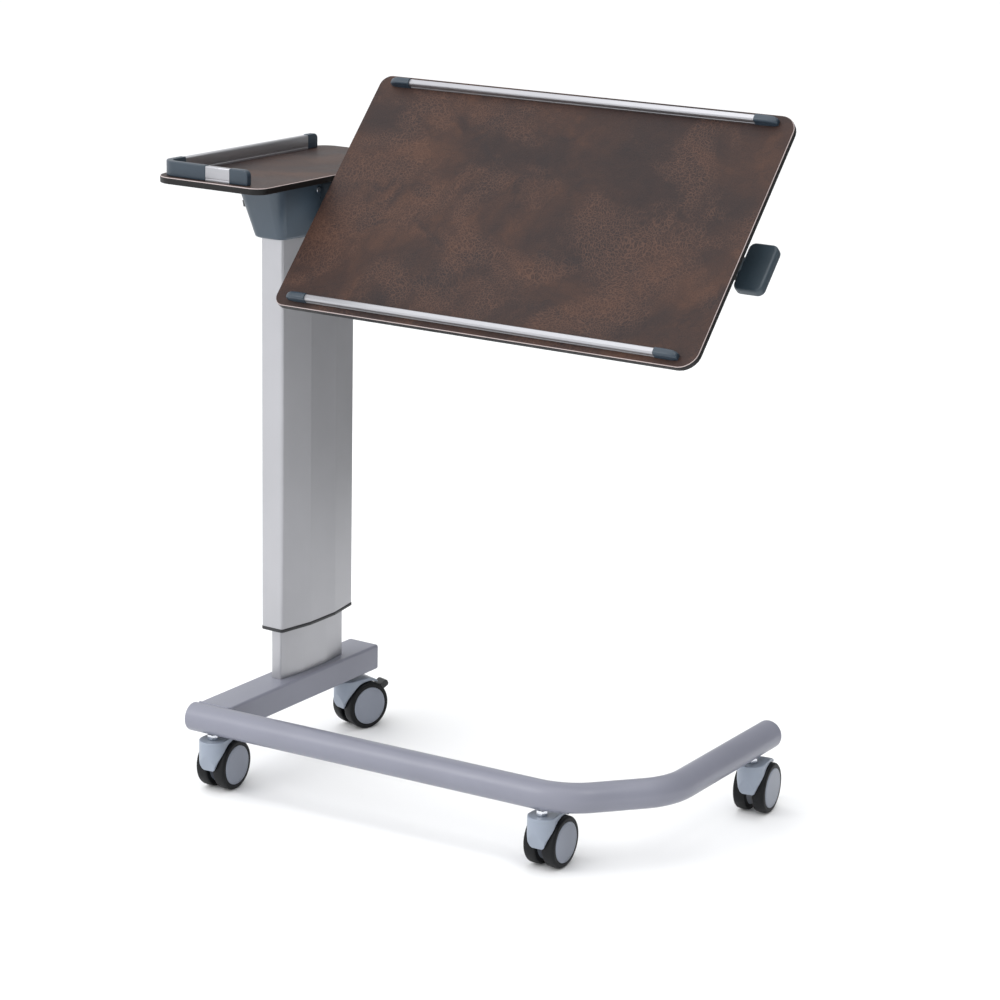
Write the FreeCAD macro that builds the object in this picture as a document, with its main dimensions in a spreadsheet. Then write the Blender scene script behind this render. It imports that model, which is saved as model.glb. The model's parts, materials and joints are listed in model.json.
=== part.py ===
import FreeCAD, Part
import math
import os
import re
import Sketcher

# Overbed table on four twin-wheel casters: a U-shaped base, a telescopic column with a gas
# spring, a head under a fixed side tray, and a main top that tilts about a shaft.
# Millimetres, +Z up, origin on the floor under the middle of the whole table.
# Each group of pieces is drawn about a station of its own and then placed:
#   column station   the column's axis on the floor
#   top station      the tilt axis at the column, with the main top lying flat
#   caster station   a caster's stem on the floor, wheels trailing towards +Y

SIZES = [
    ("column_x", -322),  # where the column stands
    ("column_y", 21.66),
    ("beam_width", 56),  # base beam under the column
    ("beam_height", 40),
    ("beam_wall", 3),
    ("beam_corner", 3),
    ("beam_bottom", 91),
    ("beam_rear", 145),
    ("cap_plate", 3),
    ("plug_length", 12),
    ("plug_play", 0.2),
    ("tube_radius", 21.2),  # round base tube
    ("tube_wall", 2.6),
    ("tube_level", 111),
    ("stem_across", 4.5),  # front left caster stem, from the column's axis
    ("stem_along", -236),
    ("front_angle", 3.2),
    ("front_overhang", 34),
    ("front_run", 588),
    ("diagonal_angle", 48.6),
    ("diagonal_run", 153.9),
    ("arm_run", 286),
    ("bend_radius", 100),
    ("front_right_run", 554),  # caster stems along the tube and the beam
    ("arm_caster_run", 237),
    ("beam_caster_along", 103),
    ("outer_half", 19.2),  # column sections: half thickness, half length, bulge, ridge
    ("outer_long", 89),
    ("outer_bulge", 10),
    ("outer_ridge", 31),
    ("outer_wall", 2.5),
    ("outer_corner", 5),
    ("outer_bottom", 214.5),
    ("outer_top", 812),
    ("inner_half", 9),
    ("inner_long", 78),
    ("inner_bulge", 6),
    ("inner_ridge", 28),
    ("inner_wall", 2),
    ("inner_corner", 3),
    ("inner_top", 640),
    ("guide_gap", 0.35),
    ("guide_height", 50),
    ("wiper_height", 5),
    ("foot_thick", 10),
    ("foot_side_margin", 2.3),
    ("foot_end_margin", 4),
    ("bolt_radius", 4),  # fasteners
    ("bolt_head", 6.5),
    ("bolt_head_height", 5.3),
    ("screw_radius", 2),
    ("screw_head", 4),
    ("screw_head_height", 2.5),
    ("tray_screw_radius", 2.5),
    ("tray_screw_head", 4.5),
    ("tray_screw_head_height", 3),
    ("spring_along", 34),  # gas spring
    ("spring_radius", 9),
    ("spring_bore", 7),
    ("spring_top", 510),
    ("spring_bore_bottom", 145),
    ("spring_lid", 8),
    ("piston_height", 12),
    ("rod_radius", 4),
    ("rod_bottom", 222),
    ("rod_top", 830),
    ("slip_gap", 0.1),
    ("overshoot", 10),  # how far a cutting tool runs past what it cuts
    ("head_foot_thick", 8),  # steel bracket of the head
    ("head_half", 20),
    ("head_foot_half", 84),
    ("flange_across_half", 37),
    ("flange_along_half", 95),
    ("flange_thick", 5),
    ("web_level_half", 3),
    ("weld", 1),
    ("ear_thick", 3),
    ("ear_half", 7),
    ("sleeve_length", 82),
    ("hood_bottom", 805),  # plastic hood of the head
    ("hood_top", 887.5),
    ("hood_wall", 3),
    ("hood_half", 26),
    ("hood_long", 98),
    ("hood_flare_across", 16),
    ("hood_flare_along", 31),
    ("hood_seat", 42),
    ("hood_corner", 14),
    ("boss_start", 18),
    ("boss_length", 48),
    ("boss_half", 18),
    ("boss_rise", 11),
    ("boss_top_gap", 1.5),
    ("slot_left", -70),
    ("slot_across", 40),
    ("slot_width", 16),
    ("slot_height", 38),
    ("slot_rise", 35),
    ("ear_face", 34),
    ("screw_level", 874),
    ("tray_left", -127.5),  # side tray
    ("tray_front", -205),
    ("tray_width", 196),
    ("tray_depth", 406),
    ("board_thick", 10),
    ("board_level", 898),
    ("tray_big_corner", 32),
    ("tray_small_corner", 20),
    ("board_left_corner", 17),
    ("board_right_corner", 26),
    ("bevel", 1.2),
    ("rail_inset", 9),
    ("rail_thick", 10),
    ("tray_rail_height", 22),
    ("tray_rail_start", -148),
    ("tray_rail_end", 144),
    ("tray_cap_end", 168),
    ("rail_rounding", 3),
    ("cap_rounding", 8),
    ("elbow_outer", 24),
    ("elbow_inner", 14),
    ("short_rail_start", -35.5),
    ("short_rail_end", 7.5),
    ("short_cap_end", 39.5),
    ("pivot_along", -8),  # tilt axis
    ("pivot_level", 838),
    ("tilt_angle", 48),
    ("shaft_radius", 11),
    ("shaft_start", -20),
    ("shaft_end", 722),
    ("shaft_bore", 8),
    ("sleeve_radius", 15),
    ("running_gap", 0.05),
    ("top_left", 72.5),  # main top, flat, from the tilt axis
    ("top_front", -194.6),
    ("top_width", 681.5),
    ("top_depth", 401.2),
    ("top_level", 60),
    ("rail_height", 12),
    ("rail_start", 57),
    ("rail_cap", 34),
    ("rail_run", 565),
    ("main_rail_rounding", 4),
    ("bearing_radius", 18),  # brackets of the main top
    ("bearing_length", 30),
    ("bearing_foot_half", 40),
    ("bearing_foot_thick", 4),
    ("knob_start", 727.5),  # tilt lock
    ("knob_length", 44),
    ("knob_depth", 75),
    ("knob_thick", 16),
    ("knob_corner", 9),
    ("knob_rounding", 3),
    ("knob_boss_radius", 13),
    ("knob_boss_length", 7),
    ("knob_boss_reach", 4.5),
    ("stud_length", 24),
    ("stud_reach", 22),
    ("stud_radius", 4),
    ("lever_across", -16),  # height release lever
    ("lever_level", 864),
    ("lever_start", -92),
    ("lever_length", 148),
    ("handle_thick", 8),
    ("handle_start", 80),
    ("finger_start", 30),
    ("finger_end", 38),
    ("finger_half", 3),
    ("finger_reach", 5),
    ("finger_gap", 3.6),
    ("wheel_radius", 37.5),  # casters
    ("wheel_inner", 5.2),
    ("wheel_outer", 24.6),
    ("hub_radius", 29),
    ("cover_radius", 29.4),
    ("cover_face", 25),
    ("caster_trail", 27),
    ("axle_radius", 4),
    ("axle_half", 19.5),
    ("web_half", 4.5),
    ("wheel_gap", 0.9),
    ("barrel_radius", 20.5),
    ("barrel_top", 81.5),
    ("stem_radius", 5),
    ("stem_bottom", 67),
    ("nut_bottom", 82.2),
    ("nut_top", 89.8),
    ("nut_half", 7.5),
    ("fender_gap", 4.5),
    ("brake_side", 0.3),
    ("brake_thick", 4),
    ("brake_ring", 10),
    ("brake_pocket", 17),
    ("brake_arm", 50),
    ("brake_arm_half", 4),
    ("brake_width", 17),
    ("brake_turn", 28),
]

doc = FreeCAD.newDocument("overbed_table")
sheet = doc.addObject("Spreadsheet::Sheet", "sizes")
for row, (alias, number) in enumerate(SIZES, start=1):
    sheet.set("A%d" % row, alias)
    sheet.set("B%d" % row, str(number))
    sheet.setAlias("B%d" % row, alias)
doc.recompute()
ALIASES = {alias for alias, number in SIZES}
parts = []

COLUMN = ("column_x", "column_y", "0")
TOP = ("column_x", "column_y + pivot_along", "pivot_level", "tilt_angle", (1, 0, 0))
FRONT_X = "column_x + stem_across"
FRONT_Y = "column_y + stem_along"
ARM_X = FRONT_X + " + front_run * cos(front_angle) + diagonal_run * cos(diagonal_angle)"
ARM_Y = FRONT_Y + " + front_run * sin(front_angle) + diagonal_run * sin(diagonal_angle)"
CASTERS = {
    "fl": (FRONT_X, FRONT_Y, "0", "4"),
    "fr": (
        FRONT_X + " + front_right_run * cos(front_angle)",
        FRONT_Y + " + front_right_run * sin(front_angle)",
        "0",
        "2.5",
    ),
    "br": (ARM_X, ARM_Y + " + arm_caster_run", "0", "6.7"),
    "bl": ("column_x", "column_y + beam_caster_along", "0", "-16.5"),
}
BRAKED = ("fl", "bl")
BEAM_TOP = "(beam_bottom + beam_height)"
UNDER_TRAY = "(board_level - board_thick)"
UNDER_TOP = "(top_level - board_thick)"
THROUGH = "400"  # longer than any piece that a tool has to pass through
BOLTS = ("-60", "-20", "20", "60")  # where things are fastened, from their own stations
FLANGE_SCREWS = [(x, y) for x in ("-27", "27") for y in ("-84", "84")]
BRACKET_SCREWS = [(x, y) for x in ("86", "128", "652", "676") for y in ("-32", "32")]
HOOD_SCREWS = ("-34", "34")


def expression(text):
    """Write the sheet's cells into a formula that names their aliases."""
    return re.sub(r"[a-z_]+", lambda word: cell(word.group()), text)


def cell(word):
    return "sizes." + word if word in ALIASES else word


def value(text):
    return float(sheet.evalExpression(expression(text)))


def bind(item, **formulas):
    for name, text in formulas.items():
        item.setExpression(name, expression(text))
    return item


def place(item, x="0", y="0", z="0", turn="0", axis=(0, 0, 1)):
    """Bind an item's place, and its turn in degrees about an axis."""
    item.Placement = FreeCAD.Placement(FreeCAD.Vector(), FreeCAD.Rotation(FreeCAD.Vector(*axis), 1))
    for name, text in (("Base.x", x), ("Base.y", y), ("Base.z", z), ("Rotation.Angle", turn)):
        item.setExpression("Placement." + name, expression(text))
    return item


def box(x, y, z, length, width, height):
    """A block from its lowest corner."""
    item = doc.addObject("Part::Box", "block")
    bind(item, Length=length, Width=width, Height=height)
    return place(item, x, y, z)


def block(x, y, z):
    """A block from its low and high value along each axis."""
    spans = ["(%s) - (%s)" % (high, low) for low, high in (x, y, z)]
    return box(x[0], y[0], z[0], *spans)


def cylinder(radius, length, x="0", y="0", z="0", along="z"):
    """A round bar from the middle of its low end."""
    item = doc.addObject("Part::Cylinder", "round")
    bind(item, Radius=radius, Height=length)
    if along == "x":
        return place(item, x, y, z, "90", (0, 1, 0))
    if along == "y":
        return place(item, x, y, z, "-90", (1, 0, 0))
    return place(item, x, y, z)


def hexagon(across, height, x, y, z):
    item = doc.addObject("Part::Prism", "hexagon")
    bind(item, Circumradius="(%s) / cos(30)" % across, Height=height)
    return place(item, x, y, z)


def join(*items):
    item = doc.addObject("Part::MultiFuse", "joined")
    item.Shapes = list(items)
    return item


def common(*items):
    item = doc.addObject("Part::MultiCommon", "shared")
    item.Shapes = list(items)
    return item


def cut(base, *tools):
    item = doc.addObject("Part::Cut", "trimmed")
    item.Base = base
    item.Tool = tools[0] if len(tools) == 1 else join(*tools)
    return item


def group(*items):
    """Keep items apart but let them be placed as one."""
    item = doc.addObject("Part::Compound", "group")
    item.Links = list(items)
    return item


def sub_part(label, station, *items):
    """Name a finished piece, or a group of like pieces, and place it at its station."""
    item = items[0]
    if len(items) > 1 or item.TypeId == "Part::Cylinder":
        item = group(*items)
    item.Label = label
    parts.append(place(item, *station))
    return item


def sketch(body, plane, corners):
    """Draw a closed outline, anticlockwise. A third value makes the side that ends there an arc."""
    drawing = body.newObject("Sketcher::SketchObject", "outline")
    origin_plane = [feature for feature in body.Origin.OriginFeatures if feature.Role == plane][0]
    drawing.AttachmentSupport = [(origin_plane, "")]
    drawing.MapMode = "FlatFace"
    points = [FreeCAD.Vector(value(corner[0]), value(corner[1]), 0) for corner in corners]
    count = len(corners)
    for index in range(count):
        start = points[index]
        end = points[(index + 1) % count]
        corner = corners[(index + 1) % count]
        if len(corner) == 3:
            drawing.addGeometry(outward_arc(start, end, value(corner[2])))
        else:
            drawing.addGeometry(Part.LineSegment(start, end))
    for index in range(count):
        drawing.addConstraint(Sketcher.Constraint("Coincident", index, 2, (index + 1) % count, 1))
    for index, corner in enumerate(corners):
        fix(drawing, ("DistanceX", -1, 1, index, 1, points[index].x), corner[0])
        fix(drawing, ("DistanceY", -1, 1, index, 1, points[index].y), corner[1])
        if len(corner) == 3:
            fix(drawing, ("Radius", (index - 1) % count, value(corner[2])), corner[2])
    return drawing


def outward_arc(start, end, radius):
    """The arc from start to end that turns anticlockwise and bulges outwards."""
    chord = end - start
    middle = (start + end) * 0.5
    side = FreeCAD.Vector(-chord.y, chord.x, 0).normalize()
    centre = middle + side * math.sqrt(max(radius ** 2 - (chord.Length / 2) ** 2, 0))
    first = math.atan2(start.y - centre.y, start.x - centre.x)
    last = math.atan2(end.y - centre.y, end.x - centre.x)
    circle = Part.Circle(centre, FreeCAD.Vector(0, 0, 1), radius)
    return Part.ArcOfCircle(circle, first, last)


def fix(drawing, terms, formula):
    index = drawing.addConstraint(Sketcher.Constraint(*terms))
    drawing.setExpression("Constraints[%d]" % index, expression(formula))


def new_body():
    return doc.addObject("PartDesign::Body", "piece")


def pad(plane, corners, length, middle=False, start="0"):
    """Extrude an outline from an origin plane."""
    body = new_body()
    feature = body.newObject("PartDesign::Pad", "pad")
    feature.Profile = sketch(body, plane, corners)
    feature.Profile[0].setExpression("AttachmentOffset.Base.z", expression(start))
    feature.Midplane = middle
    bind(feature, Length=length)
    body.Tip = feature
    return body


def pocket(body, plane, corners):
    """Cut an outline right through."""
    feature = body.newObject("PartDesign::Pocket", "pocket")
    feature.Profile = sketch(body, plane, corners)
    feature.Type = "ThroughAll"
    feature.Midplane = True
    body.Tip = feature
    return body


def turned(corners):
    """Turn an outline about the X axis: its first value runs along X, its second is the radius."""
    body = new_body()
    drawing = sketch(body, "XZ_Plane", corners)
    feature = body.newObject("PartDesign::Revolution", "turning")
    feature.Profile = drawing
    feature.ReferenceAxis = (drawing, ["H_Axis"])
    feature.Angle = 360
    body.Tip = feature
    return body


def dress(kind, body, size, chosen):
    """Round or bevel the edges of a body that a test picks."""
    doc.recompute()
    base = body.Tip
    names = ["Edge%d" % number for number, edge in enumerate(base.Shape.Edges, start=1) if chosen(edge)]
    feature = body.newObject("PartDesign::" + kind, kind.lower())
    feature.Base = (base, names)
    bind(feature, **{"Radius" if kind == "Fillet" else "Size": size})
    body.Tip = feature
    return body


def runs(edge, axis):
    """Whether an edge is a straight line along x, y or z."""
    if edge.Curve.TypeId != "Part::GeomLine":
        return False
    ends = edge.Vertexes[1].Point - edge.Vertexes[0].Point
    return abs(getattr(ends, axis)) > 0.999 * ends.Length


def rectangle(x, y):
    return [(x[0], y[0]), (x[1], y[0]), (x[1], y[1]), (x[0], y[1])]


def facets(half, long, bulge, ridge):
    """Outline of the column: flat ends, and sides that rise in three facets."""
    wide = "(%s) + (%s)" % (half, bulge)
    right = [(half, "-(%s)" % long), (wide, "-(%s)" % ridge), (wide, ridge), (half, long)]
    left = [("-(%s)" % x, y) for x, y in reversed(right)]
    return right + left


def column_outline(name, change="0"):
    """One of the two column sections, grown outwards by a change."""
    grown = [name + "_half + " + change, name + "_long + " + change]
    return facets(*grown, name + "_bulge", name + "_ridge")


# ---- base ----


def base_beam():
    width = ("-beam_width / 2", "beam_width / 2")
    body = pad("XZ_Plane", rectangle(width, ("beam_bottom", BEAM_TOP)), "beam_rear - stem_along")
    body.Tip.Reversed = True
    body.Tip.Profile[0].setExpression("AttachmentOffset.Base.z", expression("-stem_along"))
    dress("Fillet", body, "beam_corner", lambda edge: runs(edge, "y"))
    inside = block(
        ("-beam_width / 2 + beam_wall", "beam_width / 2 - beam_wall"),
        ("stem_along - overshoot", "beam_rear + overshoot"),
        ("beam_bottom + beam_wall", BEAM_TOP + " - beam_wall"),
    )
    tube = group(cylinder("tube_radius", THROUGH, THROUGH + " / -2", along="x"))
    place(tube, "stem_across", "stem_along", "tube_level", "front_angle")
    bolts = [cylinder("bolt_radius", THROUGH, "0", along, "0") for along in BOLTS]
    stem = cylinder("stem_radius", "2 * overshoot", "0", "beam_caster_along", "beam_bottom - overshoot")
    sub_part("base_beam", COLUMN, cut(body, inside, tube, stem, *bolts))


def beam_end_cap():
    width = ("-beam_width / 2", "beam_width / 2")
    level = ("beam_bottom", BEAM_TOP)
    plate = block(width, ("beam_rear", "beam_rear + cap_plate"), level)
    inner = ("-beam_width / 2 + beam_wall + plug_play", "beam_width / 2 - beam_wall - plug_play")
    height = ("beam_bottom + beam_wall + plug_play", BEAM_TOP + " - beam_wall - plug_play")
    plug = block(inner, ("beam_rear - plug_length", "beam_rear + weld"), height)
    sub_part("beam_end_cap", COLUMN, join(plate, plug))


def tube_path():
    """Centreline of the base tube, from the front left end to the end of the arm."""
    level = value("tube_level")
    front = math.radians(value("front_angle"))
    diagonal = math.radians(value("diagonal_angle"))
    stem = FreeCAD.Vector(value("stem_across"), value("stem_along"), level)
    front_way = FreeCAD.Vector(math.cos(front), math.sin(front), 0)
    diagonal_way = FreeCAD.Vector(math.cos(diagonal), math.sin(diagonal), 0)
    arm_way = FreeCAD.Vector(0, 1, 0)
    start = stem - front_way * value("front_overhang")
    first = stem + front_way * value("front_run")
    second = first + diagonal_way * value("diagonal_run")
    end = second + arm_way * value("arm_run")
    edges = []
    last = start
    for corner, before, after in ((first, front_way, diagonal_way), (second, diagonal_way, arm_way)):
        half_turn = before.getAngle(after) / 2
        tangent = value("bend_radius") * math.tan(half_turn)
        arc_start = corner - before * tangent
        arc_end = corner + after * tangent
        bisector = (after - before).normalize()
        bow = value("bend_radius") * (1 / math.cos(half_turn) - 1)
        edges.append(Part.LineSegment(last, arc_start).toShape())
        edges.append(Part.Arc(arc_start, corner + bisector * bow, arc_end).toShape())
        last = arc_end
    edges.append(Part.LineSegment(last, end).toShape())
    return Part.Wire(edges), start, front_way


def base_tube():
    path, start, way = tube_path()
    walls = []
    for radius in (value("tube_radius"), value("tube_radius - tube_wall")):
        ring = Part.Wire(Part.makeCircle(radius, start, way))
        walls.append(path.makePipeShell([ring], True, True))
    pipe = walls[0].cut(walls[1])
    for name in ("fl", "fr", "br"):
        x, y = [value(text) for text in CASTERS[name][:2]]
        foot = FreeCAD.Vector(x - value("column_x"), y - value("column_y"), 80)
        pipe = pipe.cut(Part.makeCylinder(value("stem_radius"), 25, foot))
    feature = doc.addObject("Part::Feature", "pipe")
    feature.Shape = pipe
    sub_part("base_tube", COLUMN, feature)


def tube_end_caps():
    """A domed cap in each open end of the base tube."""
    inside = "tube_radius - tube_wall - plug_play"
    profile = [
        ("-plug_length", "0"),
        ("cap_plate", "0"),
        ("cap_plate", "tube_radius - cap_plate"),
        ("0", "tube_radius", "cap_plate"),
        ("0", inside),
        ("-plug_length", inside),
    ]
    caps = []
    ends = (
        (
            "stem_across - front_overhang * cos(front_angle)",
            "stem_along - front_overhang * sin(front_angle)",
            "front_angle + 180",
        ),
        (ARM_X + " - column_x", ARM_Y + " - column_y + arm_run", "90"),
    )
    for x, y, turn in ends:
        caps.append(place(turned(profile), x, y, "tube_level", turn))
    sub_part("tube_end_caps", COLUMN, *caps)


def caster_stems():
    """Threaded stems with their hexagon collars, fixed in the base."""
    stems = []
    for name, (x, y, z, turn) in CASTERS.items():
        x = "(%s) - column_x" % x
        y = "(%s) - column_y" % y
        top = "beam_bottom" if name == "bl" else "nut_top"
        shank = cylinder("stem_radius", "100 - stem_bottom", x, y, "stem_bottom")
        nut = hexagon("nut_half", top + " - nut_bottom", x, y, "nut_bottom")
        stems.append(join(shank, nut))
    sub_part("caster_stems", COLUMN, *stems)


# ---- column ----


def shell(outer, inner, low, high, corner=None):
    """A length of column section with an opening right through."""
    body = pad("XY_Plane", outer, "(%s) - (%s)" % (high, low), start=low)
    if corner:
        dress("Fillet", body, corner, lambda edge: runs(edge, "z") and abs(edge.CenterOfMass.y) > 60)
    return pocket(body, "XY_Plane", inner)


def columns():
    bore = column_outline("inner", "-inner_wall")
    inner = shell(column_outline("inner"), bore, BEAM_TOP, "inner_top", "inner_corner")
    sub_part("inner_column", COLUMN, inner)
    bore = column_outline("outer", "-outer_wall")
    outer = shell(column_outline("outer"), bore, "outer_bottom", "outer_top", "outer_corner")
    sub_part("outer_column", COLUMN, outer)


def column_guides():
    bore = column_outline("outer", "-outer_wall")
    slack_bore = column_outline("outer", "-outer_wall - guide_gap")
    shaft = column_outline("inner")
    slack_shaft = column_outline("inner", "guide_gap")
    upper = shell(slack_bore, shaft, "inner_top - guide_height", "inner_top")
    sub_part("upper_guide", COLUMN, upper)
    lower = shell(bore, slack_shaft, "outer_bottom", "outer_bottom + guide_height")
    sub_part("lower_guide", COLUMN, lower)
    below = "outer_bottom - wiper_height"
    wiper = shell(column_outline("outer"), slack_shaft, below, "outer_bottom", "outer_corner")
    sub_part("wiper_ring", COLUMN, wiper)


def column_foot():
    across = ("foot_side_margin - inner_half", "inner_half - foot_side_margin")
    length = ("foot_end_margin - inner_long", "inner_long - foot_end_margin")
    plate = block(across, length, (BEAM_TOP, BEAM_TOP + " + foot_thick"))
    holes = [cylinder("bolt_radius", THROUGH, "0", along, "0") for along in BOLTS]
    sub_part("column_foot_plate", COLUMN, cut(plate, *holes))
    bolts = []
    for along in BOLTS:
        shank = cylinder("bolt_radius", "beam_height + foot_thick", "0", along, "beam_bottom")
        under = "beam_bottom - bolt_head_height"
        bolts.append(join(shank, hexagon("bolt_head", "bolt_head_height", "0", along, under)))
    sub_part("column_foot_bolts", COLUMN, *bolts)


def gas_spring():
    place_at = ("0", "spring_along")
    foot = BEAM_TOP + " + foot_thick"
    body = cylinder("spring_radius", "spring_top - " + BEAM_TOP + " - foot_thick", *place_at, foot)
    bore_length = "spring_top - spring_lid - spring_bore_bottom"
    bore = cylinder("spring_bore", bore_length, *place_at, "spring_bore_bottom")
    gland = cylinder("rod_radius + slip_gap", "2 * overshoot", *place_at, "spring_top - overshoot")
    sub_part("gas_spring_cylinder", COLUMN, cut(body, bore, gland))
    rod = cylinder("rod_radius", "rod_top - rod_bottom", *place_at, "rod_bottom")
    piston = cylinder("spring_bore - slip_gap", "piston_height", *place_at, "rod_bottom")
    sub_part("gas_spring_rod", COLUMN, join(rod, piston))


# ---- head ----


def head_bracket():
    """Welded steel head on the column: foot, flange, webs and the sleeve of the tilt shaft."""
    welded = ("outer_top + head_foot_thick - weld", UNDER_TRAY + " - flange_thick + weld")
    across = ("-head_half", "head_half")
    foot = block(across, ("-head_foot_half", "head_foot_half"), ("outer_top", "outer_top + head_foot_thick"))
    flange = block(
        ("-flange_across_half", "flange_across_half"),
        ("-flange_along_half", "flange_along_half"),
        (UNDER_TRAY + " - flange_thick", UNDER_TRAY),
    )
    ears = []
    for along in HOOD_SCREWS:
        length = (along + " - ear_half", along + " + ear_half")
        for face in (("ear_face", "ear_face + ear_thick"), ("-ear_face - ear_thick", "-ear_face")):
            ears.append(block(face, length, ("screw_level - ear_half", welded[1])))
    webs = []
    for along in ("-70", "70"):
        webs.append(block(across, (along + " - web_level_half", along + " + web_level_half"), welded))
    beside_pivot = ("pivot_along - web_level_half", "pivot_along + web_level_half")
    rib = block(("0", "head_half"), beside_pivot, ("pivot_level", welded[1]))
    lug = block(("-26", "-6"), ("46", "52"), welded)
    sleeve = cylinder("sleeve_radius", "sleeve_length", "shaft_start", "pivot_along", "pivot_level", "x")
    shaft_hole = cylinder("shaft_radius", THROUGH, THROUGH + " / -2", "pivot_along", "pivot_level", "x")
    rod_hole = cylinder("rod_radius", "3 * overshoot", "0", "spring_along", "outer_top - overshoot")
    lever_bore = "rod_radius + running_gap"
    lever_hole = cylinder(lever_bore, THROUGH, "lever_across", THROUGH + " / -2", "lever_level", "y")
    holes = [shaft_hole, rod_hole, lever_hole]
    for along in HOOD_SCREWS:
        holes.append(cylinder("screw_radius", THROUGH, THROUGH + " / -2", along, "screw_level", "x"))
    for x, y in FLANGE_SCREWS:
        low = UNDER_TRAY + " - overshoot"
        holes.append(cylinder("tray_screw_radius", "2 * overshoot", x, y, low))
    sub_part("head_bracket", COLUMN, cut(join(foot, flange, rib, lug, sleeve, *ears, *webs), *holes))


def hood_loft(grow, low, high, rounding):
    """The tapered body of the hood between two heights, grown by a change, its corners rounded."""
    wires = []
    for share, level in ((0.0, low), (1.0, high)):
        half = value("hood_half") + share * value("hood_flare_across") + grow
        long = value("hood_long") + share * value("hood_flare_along") + grow
        bulge = value("outer_bulge") * (1 - 0.8 * share)
        ridge = value("outer_ridge")
        right = [(half, -long), (half + bulge, -ridge), (half + bulge, ridge), (half, long)]
        left = [(-x, y) for x, y in reversed(right)]
        points = [FreeCAD.Vector(x, y, level) for x, y in right + left]
        wires.append(Part.makePolygon(points + points[:1]))
    solid = Part.makeLoft(wires, True, True)
    corners = [edge for edge in solid.Edges if edge.BoundBox.ZLength > 50 and abs(edge.CenterOfMass.y) > 60]
    return solid.makeFillet(rounding, corners)


def head_hood():
    low = value("hood_bottom")
    high = value("hood_top")
    outer = hood_loft(0, low, high, value("hood_corner"))
    inner = hood_loft(-value("hood_wall"), low - 0.01, high + 0.01, value("hood_corner - hood_wall"))
    boss_low = low + value("boss_rise")
    boss_corner = FreeCAD.Vector(value("boss_start"), value("pivot_along - boss_half"), boss_low)
    boss_height = high - boss_low - value("boss_top_gap")
    boss = Part.makeBox(value("boss_length"), value("2 * boss_half"), boss_height, boss_corner)
    axis_start = FreeCAD.Vector(0, value("pivot_along"), value("pivot_level"))
    across = FreeCAD.Vector(1, 0, 0)
    bore = Part.makeCylinder(value("sleeve_radius") + 0.5, float(THROUGH), axis_start, across)
    slot_corner = FreeCAD.Vector(value("slot_left"), value("lever_start"), low + value("slot_rise"))
    slot_size = [value(name) for name in ("slot_across", "slot_width", "slot_height")]
    slot = Part.makeBox(*slot_size, slot_corner)
    hood = outer.fuse(boss).cut(inner).cut(bore).cut(slot)
    for along in HOOD_SCREWS:
        for side in (-1, 1):
            seat = FreeCAD.Vector(side * value("hood_seat"), value(along), value("screw_level"))
            outwards = across * side
            recess = Part.makeCylinder(value("screw_head + plug_play"), 10, seat, outwards)
            screw_hole = Part.makeCylinder(value("screw_radius"), 10, seat - outwards * 5, outwards)
            hood = hood.cut(recess).cut(screw_hole)
    feature = doc.addObject("Part::Feature", "hood")
    feature.Shape = hood.removeSplitter()
    sub_part("head_hood", COLUMN, feature)


def hood_screws():
    """Pan-head screws through both long sides of the hood into the ears of the bracket."""
    screws = []
    for along in HOOD_SCREWS:
        for start, cap in (("ear_face", "hood_seat"), ("-hood_seat", "-hood_seat - screw_head_height")):
            shank = cylinder("screw_radius", "hood_seat - ear_face", start, along, "screw_level", "x")
            head = cylinder("screw_head", "screw_head_height", cap, along, "screw_level", "x")
            screws.append(join(shank, head))
    sub_part("hood_screws", COLUMN, *screws)


def board(left, front, width, depth, low, corners):
    """A flat board with rounded corners and a bevelled upper edge."""
    outline = rectangle((left, "%s + %s" % (left, width)), (front, "%s + %s" % (front, depth)))
    body = pad("XY_Plane", outline, "board_thick", start=low)
    for radius, chosen in corners:
        dress("Fillet", body, radius, lambda edge: runs(edge, "z") and chosen(edge.CenterOfMass.x))
    level = value(low + " + board_thick")
    dress("Chamfer", body, "bevel", lambda edge: abs(edge.BoundBox.ZMin - level) < 0.01)
    return body


def side_tray():
    middle = value("tray_left + tray_width / 2")
    corners = [
        ("tray_big_corner", lambda x: x < middle),
        ("tray_small_corner", lambda x: x > middle),
    ]
    body = board("tray_left", "tray_front", "tray_width", "tray_depth", UNDER_TRAY, corners)
    holes = [cylinder("tray_screw_radius", "6", x, y, UNDER_TRAY) for x, y in FLANGE_SCREWS]
    sub_part("side_tray", COLUMN, cut(body, *holes))


def tray_screws():
    flange_face = UNDER_TRAY + " - flange_thick"
    under = flange_face + " - tray_screw_head_height"
    screws = []
    for x, y in FLANGE_SCREWS:
        shank = cylinder("tray_screw_radius", "10", x, y, flange_face)
        screws.append(join(shank, cylinder("tray_screw_head", "tray_screw_head_height", x, y, under)))
    sub_part("tray_screws", COLUMN, *screws)


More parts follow.
